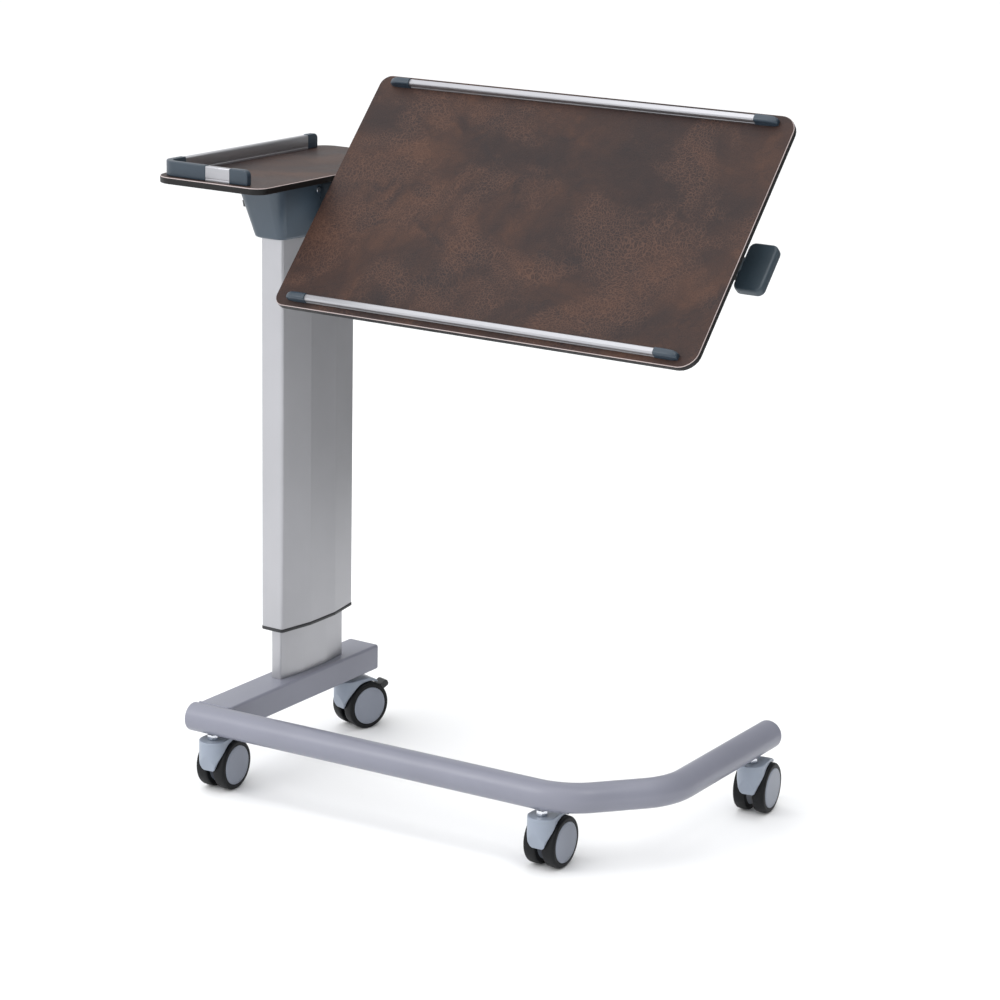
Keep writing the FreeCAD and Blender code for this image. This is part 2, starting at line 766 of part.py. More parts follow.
def tray_rails():
    left = "tray_left + rail_inset"
    front = "tray_front + rail_inset"
    long_span = (left, left + " + rail_thick")
    short_span = (front, front + " + rail_thick")
    long_outline = rectangle(long_span, ("tray_rail_start", "tray_rail_end"))
    short_outline = rectangle(("short_rail_start", "short_rail_end"), short_span)
    long_rail = pad("XY_Plane", long_outline, "tray_rail_height", start="board_level")
    short_rail = pad("XY_Plane", short_outline, "tray_rail_height", start="board_level")
    top = value("board_level + tray_rail_height") - 0.01
    dress("Fillet", long_rail, "rail_rounding", lambda edge: runs(edge, "y") and edge.BoundBox.ZMin > top)
    dress("Fillet", short_rail, "rail_rounding", lambda edge: runs(edge, "x") and edge.BoundBox.ZMin > top)
    sub_part("tray_rail_long", COLUMN, long_rail)
    sub_part("tray_rail_short", COLUMN, short_rail)
    elbow = [
        (left, front),
        ("short_rail_start", front),
        ("short_rail_start", front + " + rail_thick"),
        (left + " + rail_thick", front + " + rail_thick"),
        (left + " + rail_thick", "tray_rail_start"),
        (left, "tray_rail_start"),
    ]
    corner = pad("XY_Plane", elbow, "tray_rail_height", start="board_level")
    outer_x = value(left)
    inner_x = value(left + " + rail_thick")
    outer_y = value(front + " + rail_thick")
    front_y = value(front)
    dress("Fillet", corner, "elbow_outer", lambda edge: runs(edge, "z") and near(edge, outer_x, front_y))
    dress("Fillet", corner, "elbow_inner", lambda edge: runs(edge, "z") and near(edge, inner_x, outer_y))
    sub_part("tray_rail_corner", COLUMN, corner)
    cap_outlines = (
        rectangle(long_span, ("tray_rail_end", "tray_cap_end")),
        rectangle(("short_rail_end", "short_cap_end"), short_span),
    )
    caps = [pad("XY_Plane", outline, "tray_rail_height", start="board_level") for outline in cap_outlines]
    long_end = value("tray_cap_end") - 0.01
    short_end = value("short_cap_end") - 0.01
    dress("Fillet", caps[0], "cap_rounding", lambda edge: runs(edge, "x") and edge.BoundBox.ZMin > top
          and edge.BoundBox.YMin > long_end)
    dress("Fillet", caps[1], "cap_rounding", lambda edge: runs(edge, "y") and edge.BoundBox.ZMin > top
          and edge.BoundBox.XMin > short_end)
    sub_part("tray_rail_end_caps", COLUMN, *caps)


def near(edge, x, y):
    return math.hypot(edge.CenterOfMass.x - x, edge.CenterOfMass.y - y) < 1


def tilt_shaft():
    axis = ("pivot_along", "pivot_level", "x")
    bar = cylinder("shaft_radius", "shaft_end - shaft_start", "shaft_start", *axis)
    bore = cylinder("shaft_bore", "shaft_end - 22 - shaft_start", "shaft_start", *axis)
    thread = cylinder("stud_radius + slip_gap", THROUGH, "shaft_end - 32", *axis)
    sub_part("tilt_shaft", COLUMN, cut(bar, bore, thread))


def release_lever():
    """Rocking shaft with a handle at its front end and a finger over the gas spring."""
    shaft = cylinder("rod_radius", "lever_length", "lever_across", "lever_start", "lever_level", "y")
    handle_side = [
        ("lever_across - 36", "lever_level - 18"),
        ("lever_across - 29", "lever_level - 18"),
        ("lever_across + 5", "lever_level - 5"),
        ("lever_across + 5", "lever_level + 5"),
        ("lever_across - 5", "lever_level + 5"),
        ("lever_across - 38", "lever_level - 9"),
    ]
    handle = pad("XZ_Plane", handle_side, "handle_thick", start="handle_start")
    width = ("finger_start", "finger_end")
    over = "lever_level + finger_half"
    finger_top = block(("lever_across", "finger_reach"), width, ("lever_level - finger_half", over))
    finger = block(("-4", "finger_reach"), width, ("rod_top + finger_gap", over))
    sub_part("release_lever", COLUMN, join(shaft, handle, finger_top, finger))


# ---- main top, drawn lying flat about the tilt axis ----


def main_top():
    middle = value("top_left + top_width / 2")
    corners = [("board_left_corner", lambda x: x < middle), ("board_right_corner", lambda x: x > middle)]
    body = board("top_left", "top_front", "top_width", "top_depth", UNDER_TOP, corners)
    holes = [cylinder("screw_radius", "6", x, y, UNDER_TOP) for x, y in BRACKET_SCREWS]
    sub_part("main_top", TOP, cut(body, *holes))


def main_rails():
    ends = ("top_left + rail_start", "top_left + rail_start + rail_run")
    fronts = ("top_front + rail_inset", "top_front + top_depth - rail_inset - rail_thick")
    top = value("top_level + rail_height") - 0.01
    caps = []
    for name, front in zip(("front_rail", "rear_rail"), fronts):
        across = (front, front + " + rail_thick")
        bar = pad("XY_Plane", rectangle(ends, across), "rail_height", start="top_level")
        dress("Fillet", bar, "main_rail_rounding", lambda edge: runs(edge, "x") and edge.BoundBox.ZMin > top)
        sub_part(name, TOP, bar)
        for low, high in ((ends[0] + " - rail_cap", ends[0]), (ends[1], ends[1] + " + rail_cap")):
            cap = pad("XY_Plane", rectangle((low, high), across), "rail_height", start="top_level")
            far = value(low) if low != ends[1] else value(high)
            dress("Fillet", cap, "main_rail_rounding", lambda edge: edge.BoundBox.ZMin > top
                  and (runs(edge, "x") or abs(edge.CenterOfMass.x - far) < 0.1))
            caps.append(cap)
    sub_part("main_rail_end_caps", TOP, *caps)


def tilt_brackets():
    """Two bearings that carry the main top on the shaft."""
    foot_face = UNDER_TOP + " - bearing_foot_thick"
    places = (("tilt_bracket_left", "78", ("78", "134")), ("tilt_bracket_right", "690", ("646", "720")))
    for name, start, foot_span in places:
        hub = cylinder("bearing_radius", "bearing_length", start, "0", "0", "x")
        web_x = (start, start + " + bearing_length")
        web = block(web_x, ("-bearing_radius", "bearing_radius"), ("0", foot_face + " + weld"))
        foot = block(foot_span, ("-bearing_foot_half", "bearing_foot_half"), (foot_face, UNDER_TOP))
        bore = cylinder("shaft_radius + running_gap", "100", start + " - overshoot", "0", "0", "x")
        low = UNDER_TOP + " - overshoot"
        holes = [cylinder("screw_radius", "2 * overshoot", x, y, low) for x, y in BRACKET_SCREWS]
        sub_part(name, TOP, cut(join(hub, web, foot), bore, *holes))
    screws = []
    for x, y in BRACKET_SCREWS:
        shank = cylinder("screw_radius", "9", x, y, foot_face)
        under = foot_face + " - screw_head_height"
        screws.append(join(shank, cylinder("screw_head", "screw_head_height", x, y, under)))
    sub_part("bracket_screws", TOP, *screws)


def tilt_knob():
    ends = ("knob_start", "knob_start + knob_length")
    outline = rectangle(ends, ("-knob_depth / 2", "knob_depth / 2"))
    paddle = pad("XY_Plane", outline, "knob_thick", middle=True)
    dress("Fillet", paddle, "knob_corner", lambda edge: runs(edge, "z"))
    top = value("knob_thick / 2") - 0.01
    dress("Fillet", paddle, "knob_rounding", lambda edge: abs(edge.CenterOfMass.z) > top)
    boss = cylinder("knob_boss_radius", "knob_boss_length", "knob_start - knob_boss_reach", "0", "0", "x")
    stud = cylinder("stud_radius", "stud_length", "knob_start - stud_reach", "0", "0", "x")
    sub_part("tilt_knob", TOP, join(paddle, boss, stud))


# ---- casters ----


def caster_hood(name, station):
    """Plastic housing: a round barrel at the stem, a shield in front and a fender over the wheels."""
    arch = "wheel_radius + fender_gap"
    foot = [("8", "36"), ("11", "38"), ("19.5", "60")]
    right = foot + [("barrel_radius", "66"), ("barrel_radius", "barrel_top")]
    front_view = right + [("-" + x, z) for x, z in reversed(right)]
    side_view = [
        ("-13", "36"),
        ("caster_trail - 6", "wheel_radius - 8"),
        ("caster_trail + 7", "wheel_radius - 7", "9.5"),
        ("caster_trail + 9", "wheel_radius + 6"),
        ("caster_trail + 20", "wheel_radius + 30"),
        ("caster_trail + (arch) * cos(58)", "wheel_radius + (arch) * sin(58)"),
        ("caster_trail - 8", "barrel_top", "arch"),
        ("-barrel_radius", "barrel_top"),
        ("-barrel_radius", "60"),
    ]
    side_view = [tuple(text.replace("arch", arch) for text in corner) for corner in side_view]
    plan = [
        ("0", "-barrel_radius", "barrel_radius"),
        ("barrel_radius", "0", "barrel_radius"),
        ("19", "25"),
        ("14", "65"),
        ("-14", "65"),
        ("-19", "25"),
        ("-barrel_radius", "0"),
    ]
    block_shape = common(
        pad("XZ_Plane", front_view, THROUGH, middle=True),
        pad("YZ_Plane", side_view, THROUGH, middle=True),
        pad("XY_Plane", plan, THROUGH, middle=True),
    )
    tools = [
        cylinder("stem_radius + slip_gap", "40", "0", "0", "stem_bottom - 0.4"),
        cylinder("axle_radius", THROUGH, THROUGH + " / -2", "caster_trail", "wheel_radius", "x"),
    ]
    for start in ("web_half", "-web_half - 40"):
        tools.append(cylinder("wheel_radius + wheel_gap", "40", start, "caster_trail", "wheel_radius", "x"))
    if name in BRAKED:
        tools.append(cylinder("brake_pocket", "10", "0", "caster_trail", "wheel_radius", "x"))
    sub_part("caster_hood_" + name, station, cut(block_shape, *tools))


def caster_wheels(name, station):
    bar = cylinder("axle_radius", "axle_half * 2", "-axle_half", "caster_trail", "wheel_radius", "x")
    sub_part("axle_" + name, station, bar)
    tyre = [
        ("wheel_inner", "hub_radius"),
        ("cover_face - 2.5", "hub_radius"),
        ("cover_face - 2.5", "cover_radius"),
        ("wheel_outer", "cover_radius"),
        ("wheel_outer", "wheel_radius - 4"),
        ("wheel_outer - 4", "wheel_radius", "4"),
        ("wheel_inner + 2", "wheel_radius"),
        ("wheel_inner", "wheel_radius - 2", "2"),
    ]
    hub = [
        ("wheel_inner", "axle_radius + slip_gap"),
        ("axle_half + 0.5", "axle_radius + slip_gap"),
        ("axle_half + 0.5", "0"),
        ("cover_face", "0"),
        ("cover_face", "cover_radius - 1"),
        ("cover_face - 1", "cover_radius", "1"),
        ("cover_face - 2.5", "cover_radius"),
        ("cover_face - 2.5", "hub_radius"),
        ("wheel_inner", "hub_radius"),
    ]
    for side, turn in (("right", "0"), ("left", "180")):
        for kind, profile in (("tyre", tyre), ("hub", hub)):
            body = place(turned(profile), "0", "caster_trail", "wheel_radius", turn)
            sub_part("%s_%s_%s" % (kind, name, side), station, group(body))


def brake_pedal(name, station):
    """Foot pedal on a ring about the axle, behind the fender."""
    ring = cylinder("brake_ring", "brake_thick", "brake_side", "0", "0", "x")
    across = ("brake_side", "brake_side + brake_thick")
    arm = block(across, ("0", "brake_arm"), ("-brake_arm_half", "brake_arm_half"))
    side = [("41", "-5"), ("53", "-5"), ("55", "-2"), ("55", "3"), ("52", "6"), ("41", "6")]
    pad_body = pad("YZ_Plane", side, "brake_width", middle=True)
    hole = cylinder("axle_radius + slip_gap", "20", "-5", "0", "0", "x")
    pedal = cut(join(ring, arm, pad_body), hole)
    place(pedal, "0", "caster_trail", "wheel_radius", "brake_turn", (1, 0, 0))
    sub_part("brake_pedal_" + name, station, group(pedal))


def check_and_write():
    doc.recompute()
    faults = []
    for item in doc.Objects:
        if "Invalid" in item.State or "Error" in item.State:
            faults.append("%s %s: %s" % (item.Name, item.Label, item.State))
    for item in parts:
        if item.Shape.isNull() or not item.Shape.isValid() or not item.Shape.Solids:
            faults.append("%s has no valid solid" % item.Label)
    if faults:
        raise RuntimeError("; ".join(faults))
    os.makedirs("parts", exist_ok=True)
    for item in parts:
        item.Shape.exportStep("parts/%s.step" % item.Label)
    whole = Part.makeCompound([item.Shape for item in parts]).BoundBox
    print("%d sub-parts, box %s" % (len(parts), whole))


base_beam()
beam_end_cap()
base_tube()
tube_end_caps()
caster_stems()
columns()
column_guides()
column_foot()
gas_spring()
head_bracket()
head_hood()
hood_screws()
side_tray()
tray_screws()
tray_rails()
tilt_shaft()
release_lever()
main_top()
main_rails()
tilt_brackets()
tilt_knob()
for caster, caster_station in CASTERS.items():
    caster_hood(caster, caster_station)
    caster_wheels(caster, caster_station)
for caster in BRAKED:
    brake_pedal(caster, CASTERS[caster])
check_and_write()
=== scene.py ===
import json
import math

import bmesh
import bpy
from mathutils import Matrix, Vector


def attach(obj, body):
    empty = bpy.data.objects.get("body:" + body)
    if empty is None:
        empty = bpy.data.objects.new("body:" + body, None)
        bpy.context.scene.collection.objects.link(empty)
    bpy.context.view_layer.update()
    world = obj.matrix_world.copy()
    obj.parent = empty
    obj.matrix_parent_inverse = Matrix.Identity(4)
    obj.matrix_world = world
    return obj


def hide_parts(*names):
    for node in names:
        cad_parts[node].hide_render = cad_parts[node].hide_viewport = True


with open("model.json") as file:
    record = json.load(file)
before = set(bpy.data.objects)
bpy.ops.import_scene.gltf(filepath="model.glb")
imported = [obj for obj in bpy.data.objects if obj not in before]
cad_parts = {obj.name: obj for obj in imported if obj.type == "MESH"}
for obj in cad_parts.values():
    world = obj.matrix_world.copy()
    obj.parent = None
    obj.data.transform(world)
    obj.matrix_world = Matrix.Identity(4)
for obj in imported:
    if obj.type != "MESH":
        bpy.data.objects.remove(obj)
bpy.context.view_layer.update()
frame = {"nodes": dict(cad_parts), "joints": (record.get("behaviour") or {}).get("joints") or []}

# Overbed table. Lengths below are millimetres in each group's own frame; MM turns them into
# metres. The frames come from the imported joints: the column stands at the height slide, the
# main top lies flat about the tilt axis, and each caster stands about its stem.
MM = 0.001
JOINTS = {joint["name"]: joint for joint in frame["joints"]}
TILT_AT_REST = math.radians(48)
CASTERS = ("fl", "fr", "br", "bl")
BRAKED = ("fl", "bl")

BOARD_THICK = 10
TOP_LEFT = 72.5  # main top, flat, from the tilt axis
TOP_FRONT = -194.6
TOP_WIDTH = 681.5
TOP_DEPTH = 401.2
TOP_LEVEL = 60
TRAY_SPAN = (-127.5, 68.5, -205, 201)  # side tray: left, right, front, back
TRAY_LEVEL = 898
RAIL_INSET = 9
RAIL_THICK = 10
RAIL_START = 57
RAIL_RUN = 565
CAP_LENGTH = 34
TUBE_RADIUS = 21.2  # base tube
TUBE_LEVEL = 111
STEM = (4.5, -236)  # front left caster's stem, from the column
FRONT_ANGLE = 3.2
DIAGONAL_ANGLE = 48.6
FRONT_RUN = 588
DIAGONAL_RUN = 153.9
ARM_RUN = 286
OVERHANG = 34
BEND_RADIUS = 100
BEAM_HALF = 28
BEAM_BOTTOM = 91
BEAM_TOP = 131
OUTER = (19.2, 89, 10, 31)  # column sections: half thickness, half length, bulge, ridge
INNER = (9, 78, 6, 28)
OUTER_BOTTOM = 214.5
OUTER_TOP = 812
INNER_TOP = 640
WIPER_BOTTOM = 209.5
HOOD_LOW = 805
HOOD_HIGH = 887.5
PIVOT = (-8, 838)  # tilt axis: along the column's long side, and up
CASTER_TRAIL = 27
WHEEL_RADIUS = 37.5


def joint_point(name):
    return Vector(JOINTS[name]["pos_m"])


def column_frame():
    point = joint_point("height")
    return Matrix.Translation((point.x, point.y, 0))


def top_frame():
    column = joint_point("height")
    pivot = joint_point("tilt")
    return Matrix.Translation((column.x, pivot.y, pivot.z)) @ Matrix.Rotation(TILT_AT_REST, 4, "X")


def caster_frame(name):
    stem = joint_point("swivel_" + name)
    axle = JOINTS["wheel_%s_left" % name]["axis"]
    turn = math.atan2(axle[1], axle[0])
    return Matrix.Translation((stem.x, stem.y, 0)) @ Matrix.Rotation(turn, 4, "Z")


COLUMN = column_frame()
TOP = top_frame()


# ---- shader nodes ----


class Shader:
    """One material, built from small node helpers."""

    def __init__(self, name, colour, roughness, **sockets):
        self.material = bpy.data.materials.new(name)
        self.material.use_nodes = True
        self.nodes = self.material.node_tree.nodes
        self.links = self.material.node_tree.links
        self.shader = self.nodes["Principled BSDF"]
        self.shader.inputs["Base Color"].default_value = (*colour, 1)
        self.shader.inputs["Roughness"].default_value = roughness
        for socket, amount in sockets.items():
            self.shader.inputs[socket.replace("_", " ")].default_value = amount
        self.place = self.nodes.new("ShaderNodeTexCoord").outputs["Object"]

    def link(self, output, node, socket):
        self.links.new(output, node.inputs[socket])

    def stretched(self, scale):
        node = self.nodes.new("ShaderNodeMapping")
        node.inputs["Scale"].default_value = scale
        self.link(self.place, node, "Vector")
        return node.outputs["Vector"]

    def moved(self, offset):
        node = self.nodes.new("ShaderNodeMapping")
        node.inputs["Location"].default_value = offset
        self.link(self.place, node, "Vector")
        return node.outputs["Vector"]

    def noise(self, scale, detail=3, roughness=0.55, distortion=0, place=None):
        node = self.nodes.new("ShaderNodeTexNoise")
        node.inputs["Scale"].default_value = scale
        node.inputs["Detail"].default_value = detail
        node.inputs["Roughness"].default_value = roughness
        node.inputs["Distortion"].default_value = distortion
        self.link(place or self.place, node, "Vector")
        return node.outputs["Fac"]

    def ramp(self, value, stops, smooth=False):
        """Turn a value into a colour, or into a grey where the stops are plain numbers."""
        node = self.nodes.new("ShaderNodeValToRGB")
        ramp = node.color_ramp
        ramp.interpolation = "EASE" if smooth else "LINEAR"
        while len(ramp.elements) < len(stops):
            ramp.elements.new(0.5)
        for element, (position, colour) in zip(ramp.elements, stops):
            element.position = position
            grey = (colour, colour, colour) if isinstance(colour, (int, float)) else colour
            element.color = (*grey, 1)
        self.link(value, node, "Fac")
        return node.outputs["Color"]

    def mix(self, factor, first, second, blend="MIX"):
        node = self.nodes.new("ShaderNodeMix")
        node.data_type = "RGBA"
        node.blend_type = blend
        for socket, item in ((0, factor), (6, first), (7, second)):
            if isinstance(item, bpy.types.NodeSocket):
                self.links.new(item, node.inputs[socket])
            elif isinstance(item, tuple):
                node.inputs[socket].default_value = (*item, 1)
            else:
                node.inputs[socket].default_value = item
        return node.outputs[2]

    def arithmetic(self, operation, first, second):
        node = self.nodes.new("ShaderNodeMath")
        node.operation = operation
        for socket, item in enumerate((first, second)):
            if isinstance(item, bpy.types.NodeSocket):
                self.links.new(item, node.inputs[socket])
            else:
                node.inputs[socket].default_value = item
        return node.outputs["Value"]

    def edges(self, low, high):
        """White on outer edges, black elsewhere."""
        worn = self.nodes.new("ShaderNodeNewGeometry").outputs["Pointiness"]
        return self.ramp(worn, [(low, 0.0), (high, 1.0)])

    def colour(self, output):
        self.link(output, self.shader, "Base Color")

    def roughness(self, output):
        self.link(output, self.shader, "Roughness")

    def bump(self, height, distance):
        node = self.nodes.new("ShaderNodeBump")
        node.inputs["Distance"].default_value = distance * MM
        node.inputs["Strength"].default_value = 1.0
        self.link(height, node, "Height")
        previous = self.shader.inputs["Normal"]
        if previous.is_linked:
            self.link(previous.links[0].from_socket, node, "Normal")
        self.link(node.outputs["Normal"], self.shader, "Normal")


def shade(colour, factor):
    return tuple(min(channel * factor, 1) for channel in colour)


def plain(name, colour, roughness, variation=0.07, grain=900, depth=0.05, wear=0.15, **sockets):
    """Moulded plastic, paint or metal: faint cloudiness, a fine grain and rubbed edges."""
    made = Shader(name, colour, roughness, **sockets)
    cloud = made.noise(14, detail=4)
    tint = made.ramp(cloud, [(0.3, shade(colour, 1 - variation)), (0.7, shade(colour, 1 + variation))])
    if wear:
        rubbed = made.arithmetic("MULTIPLY", made.edges(0.52, 0.62), made.noise(120, detail=5))
        rubbed = made.arithmetic("MULTIPLY", rubbed, wear)
        tint = made.mix(rubbed, tint, shade(colour, 1.7))
    made.colour(tint)
    smudge = made.noise(30, detail=5, roughness=0.65)
    made.roughness(made.ramp(smudge, [(0.3, roughness * 0.88), (0.7, roughness * 1.15)]))
    made.bump(made.noise(grain, detail=2), depth)
    return made.material


def base_paint():
    """Lilac-grey powder coat, semi-gloss, with a fine grain."""
    colour = (0.20, 0.205, 0.25)
    made = Shader("base_paint", colour, 0.3)
    cloud = made.noise(9, detail=5)
    tint = made.ramp(cloud, [(0.3, shade(colour, 0.95)), (0.7, shade(colour, 1.05))])
    made.colour(tint)
    made.roughness(made.ramp(made.noise(25, detail=3), [(0.3, 0.29), (0.7, 0.34)]))
    made.bump(made.noise(900, detail=2), 0.03)
    return made.material


def anodised(name, colour, along, roughness=0.34, lines=900, metallic=0.75):
    """Satin anodised extrusion, with faint die lines along one axis."""
    made = Shader(name, colour, roughness, Metallic=metallic)
    scale = tuple(1.5 if axis == along else lines for axis in "xyz")
    drawn = made.noise(1, detail=3, place=made.stretched(scale))
    cloud = made.noise(6, detail=4)
    tint = made.ramp(cloud, [(0.3, shade(colour, 0.96)), (0.7, shade(colour, 1.04))])
    tint = made.mix(0.03, tint, made.ramp(drawn, [(0.35, 0.35), (0.65, 0.75)]), "OVERLAY")
    made.colour(tint)
    made.roughness(made.ramp(drawn, [(0.3, roughness * 0.94), (0.7, roughness * 1.08)]))
    made.bump(drawn, 0.006)
    return made.material


def laminate(name, brightness, greyness):
    """Brown leather-look laminate: clouded hide, veins of fine creases and darker scars."""
    made = Shader(name, (0.07, 0.038, 0.03), 0.5, Specular_IOR_Level=0.2)
    made.place = made.moved((0.27, -0.16, 0.05))

    def tone(red, green, blue):
        grey = (red + green + blue) / 3
        return tuple(brightness * (channel + (grey - channel) * greyness) for channel in (red, green, blue))

    swirl = made.nodes.new("ShaderNodeTexNoise")
    swirl.inputs["Scale"].default_value = 11
    swirl.inputs["Detail"].default_value = 3
    made.link(made.place, swirl, "Vector")
    push = made.nodes.new("ShaderNodeVectorMath")
    push.operation = "MULTIPLY_ADD"
    push.inputs[1].default_value = (0.07, 0.07, 0.07)
    made.link(swirl.outputs["Color"], push, 0)
    made.link(made.place, push, 2)
    flowing = push.outputs["Vector"]
    cloud = made.noise(6.5, detail=7, roughness=0.62, distortion=0.4)
    hide = made.ramp(cloud, [
        (0.33, tone(0.016, 0.0100, 0.0105)),
        (0.45, tone(0.024, 0.0140, 0.0130)),
        (0.55, tone(0.035, 0.0185, 0.0150)),
        (0.68, tone(0.060, 0.0290, 0.0195)),
    ])
    scars = made.ramp(made.noise(15, detail=4, distortion=0.9), [(0.56, 0.0), (0.70, 1.0)], smooth=True)
    hide = made.mix(made.arithmetic("MULTIPLY", scars, 0.7), hide, tone(0.0165, 0.0115, 0.0125))
    cells = []
    for scale, width in ((185, 0.12), (390, 0.14), (48, 0.03)):
        node = made.nodes.new("ShaderNodeTexVoronoi")
        node.feature = "DISTANCE_TO_EDGE"
        node.inputs["Scale"].default_value = scale
        made.link(flowing, node, "Vector")
        cells.append(made.ramp(node.outputs["Distance"], [(0.0, 1.0), (width, 0.0)]))
    where = made.ramp(made.noise(7.5, detail=4, distortion=0.6), [(0.44, 0.08), (0.60, 1.0)], smooth=True)
    veins = made.arithmetic("MAXIMUM", cells[0], made.arithmetic("MULTIPLY", cells[1], 0.6))
    lighter = made.arithmetic("MULTIPLY", made.arithmetic("MULTIPLY", veins, where), 0.42)
    hide = made.mix(lighter, hide, tone(0.135, 0.068, 0.045))
    hide = made.mix(made.arithmetic("MULTIPLY", cells[2], 0.3), hide, tone(0.0150, 0.0105, 0.0105))
    speck = made.noise(700, detail=3)
    hide = made.mix(0.35, hide, made.ramp(speck, [(0.3, 0.25), (0.7, 0.75)]), "OVERLAY")
    made.colour(hide)
    made.roughness(made.ramp(cloud, [(0.35, 0.46), (0.65, 0.58)]))
    relief = made.arithmetic("SUBTRACT", made.arithmetic("MULTIPLY", speck, 0.3), veins)
    made.bump(relief, 0.07)
    made.bump(cells[2], -0.08)
    return made.material


def rubber():
    """Black tyre rubber, faintly dusty."""
    made = Shader("tyre_rubber", (0.003, 0.0035, 0.0045), 0.55, Specular_IOR_Level=0.22)
    dust = made.ramp(made.noise(60, detail=6, roughness=0.7), [(0.45, 0.0), (0.75, 1.0)])
    dusty = made.arithmetic("MULTIPLY", dust, 0.2)
    made.colour(made.mix(dusty, (0.003, 0.0035, 0.0045), (0.011, 0.011, 0.012)))
    made.roughness(made.ramp(made.noise(45, detail=4), [(0.3, 0.42), (0.7, 0.6)]))
    made.bump(made.noise(1500, detail=2), 0.04)
    return made.material


def floor_material():
    made = Shader("studio_floor", (0.93, 0.93, 0.93), 0.7, Specular_IOR_Level=0.2)
    made.colour(made.ramp(made.noise(0.7), [(0.3, (0.92, 0.92, 0.922)), (0.7, (0.94, 0.94, 0.942))]))
    return made.material


BASE_PAINT = base_paint()
COLUMN_ALU = anodised("column_aluminium", (0.42, 0.42, 0.44), "z", roughness=0.4, lines=900, metallic=0.85)
RAIL_ALU = anodised("rail_aluminium", (0.40, 0.40, 0.42), "x", roughness=0.36, lines=1400, metallic=0.9)
TOP_HIDE = laminate("top_laminate", 1.0, 0.0)
TRAY_HIDE = laminate("tray_laminate", 1.15, 0.25)
EDGE_BLACK = plain("board_edge", (0.004, 0.0035, 0.0035), 0.5, grain=1200, depth=0.04, wear=0,
                   Specular_IOR_Level=0.3)
EDGE_LINE = plain("board_core_line", (0.42, 0.35, 0.34), 0.5, wear=0)
UNDERSIDE = plain("board_underside", (0.028, 0.024, 0.023), 0.6, grain=700, depth=0.06, wear=0)
RAIL_PLASTIC = plain("rail_end_plastic", (0.020, 0.034, 0.050), 0.4, grain=1500, depth=0.05)
HOOD_PLASTIC = plain("hood_plastic", (0.043, 0.063, 0.086), 0.36, grain=1100, depth=0.04)
# Darker than the hood's plastic: the tilt block's tone is partly painted shade, standing for the shade of
# the hood's recess about the shaft.
BLOCK_PLASTIC_WITH_PAINTED_SHADE = plain("tilt_block_plastic_with_painted_shade", (0.020, 0.030, 0.040), 0.42)
KNOB_PLASTIC = plain("knob_plastic", (0.026, 0.042, 0.056), 0.40, grain=1300, depth=0.06)
BLACK_PLASTIC = plain("black_plastic", (0.014, 0.015, 0.017), 0.45)
CASTER_PLASTIC = plain("caster_housing_plastic", (0.25, 0.285, 0.345), 0.36, grain=1400, depth=0.04)
HUB_PLASTIC = plain("hub_plastic", (0.225, 0.245, 0.295), 0.34, grain=1400, depth=0.03)
GUIDE_PLASTIC = plain("guide_plastic", (0.62, 0.62, 0.6), 0.5)
BRACKET_PAINT = plain("bracket_paint", (0.02, 0.022, 0.025), 0.38, grain=600, depth=0.08)
STEEL = plain("machined_steel", (0.40, 0.41, 0.43), 0.32, grain=2000, depth=0.02, Metallic=1.0)
ZINC = plain("zinc_plate", (0.66, 0.68, 0.72), 0.2, grain=1800, depth=0.02, Metallic=1.0)
RUBBER = rubber()


# ---- mesh helpers ----


def finished_mesh(bm, name, sharp=30):
    """Turn a bmesh into a mesh with outward normals, smooth except at real corners."""
    bmesh.ops.remove_doubles(bm, verts=bm.verts, dist=0.001 * MM)
    bmesh.ops.recalc_face_normals(bm, faces=bm.faces)
    mesh = bpy.data.meshes.new(name)
    bm.to_mesh(mesh)
    bm.free()
    mesh.shade_smooth()
    mesh.set_sharp_from_angle(angle=math.radians(sharp))
    return mesh


def add_piece(name, mesh, body, materials, place=None, stands_for=()):
    """Put a mesh in the scene on a CAD body. The materials follow the mesh's own slots."""
    piece = bpy.data.objects.new(name, mesh)
    bpy.context.scene.collection.objects.link(piece)
    piece.matrix_world = place or Matrix.Identity(4)
    for material in materials:
        mesh.materials.append(material)
    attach(piece, body)
    if stands_for:
        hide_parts(*stands_for)
    return piece


def arc(centre, radius, start, end, steps):
    """Points on an arc, from one angle in degrees to another."""
    points = []
    for step in range(steps + 1):
        angle = math.radians(start + (end - start) * step / steps)
        points.append((centre[0] + radius * math.cos(angle), centre[1] + radius * math.sin(angle)))
    return points


def rounded(corners, steps=8):
    """Round each corner (x, y, radius) of an anticlockwise outline."""
    points = []
    count = len(corners)
    for index, (x, y, radius) in enumerate(corners):
        before = Vector(corners[index - 1][:2]) - Vector((x, y))
        after = Vector(corners[(index + 1) % count][:2]) - Vector((x, y))
        half = before.angle(after) / 2
        reach = radius / math.tan(half)
        tip = Vector((x, y))
        first = tip + before.normalized() * reach
        last = tip + after.normalized() * reach
        centre = tip + (before.normalized() + after.normalized()).normalized() * (radius / math.sin(half))
        for step in range(steps + 1):
            share = step / steps
            spoke = (first - centre).lerp(last - centre, share)
            points.append(tuple(centre + spoke.normalized() * radius))
    return points


def rectangle(left, right, front, back, radii, inset=0):
    """A rounded rectangle's outline. The radii start at the left front and go anticlockwise."""
    corners = ((left + inset, front + inset), (right - inset, front + inset),
               (right - inset, back - inset), (left + inset, back - inset))
    return rounded([(x, y, max(radius - inset, 0.2)) for (x, y), radius in zip(corners, radii)])


def facets(half, long, bulge, ridge, corner, crease=2):
    """The column's outline: flat ends, and sides that rise in three facets."""
    wide = half + bulge
    right = [(half, -long, corner), (wide, -ridge, crease), (wide, ridge, crease), (half, long, corner)]
    left = [(-x, -y, radius) for x, y, radius in right]
    return rounded(right + left)


def ring_points(bm, outline, level):
    return [bm.verts.new(Vector((x, y, level)) * MM) for x, y in outline]


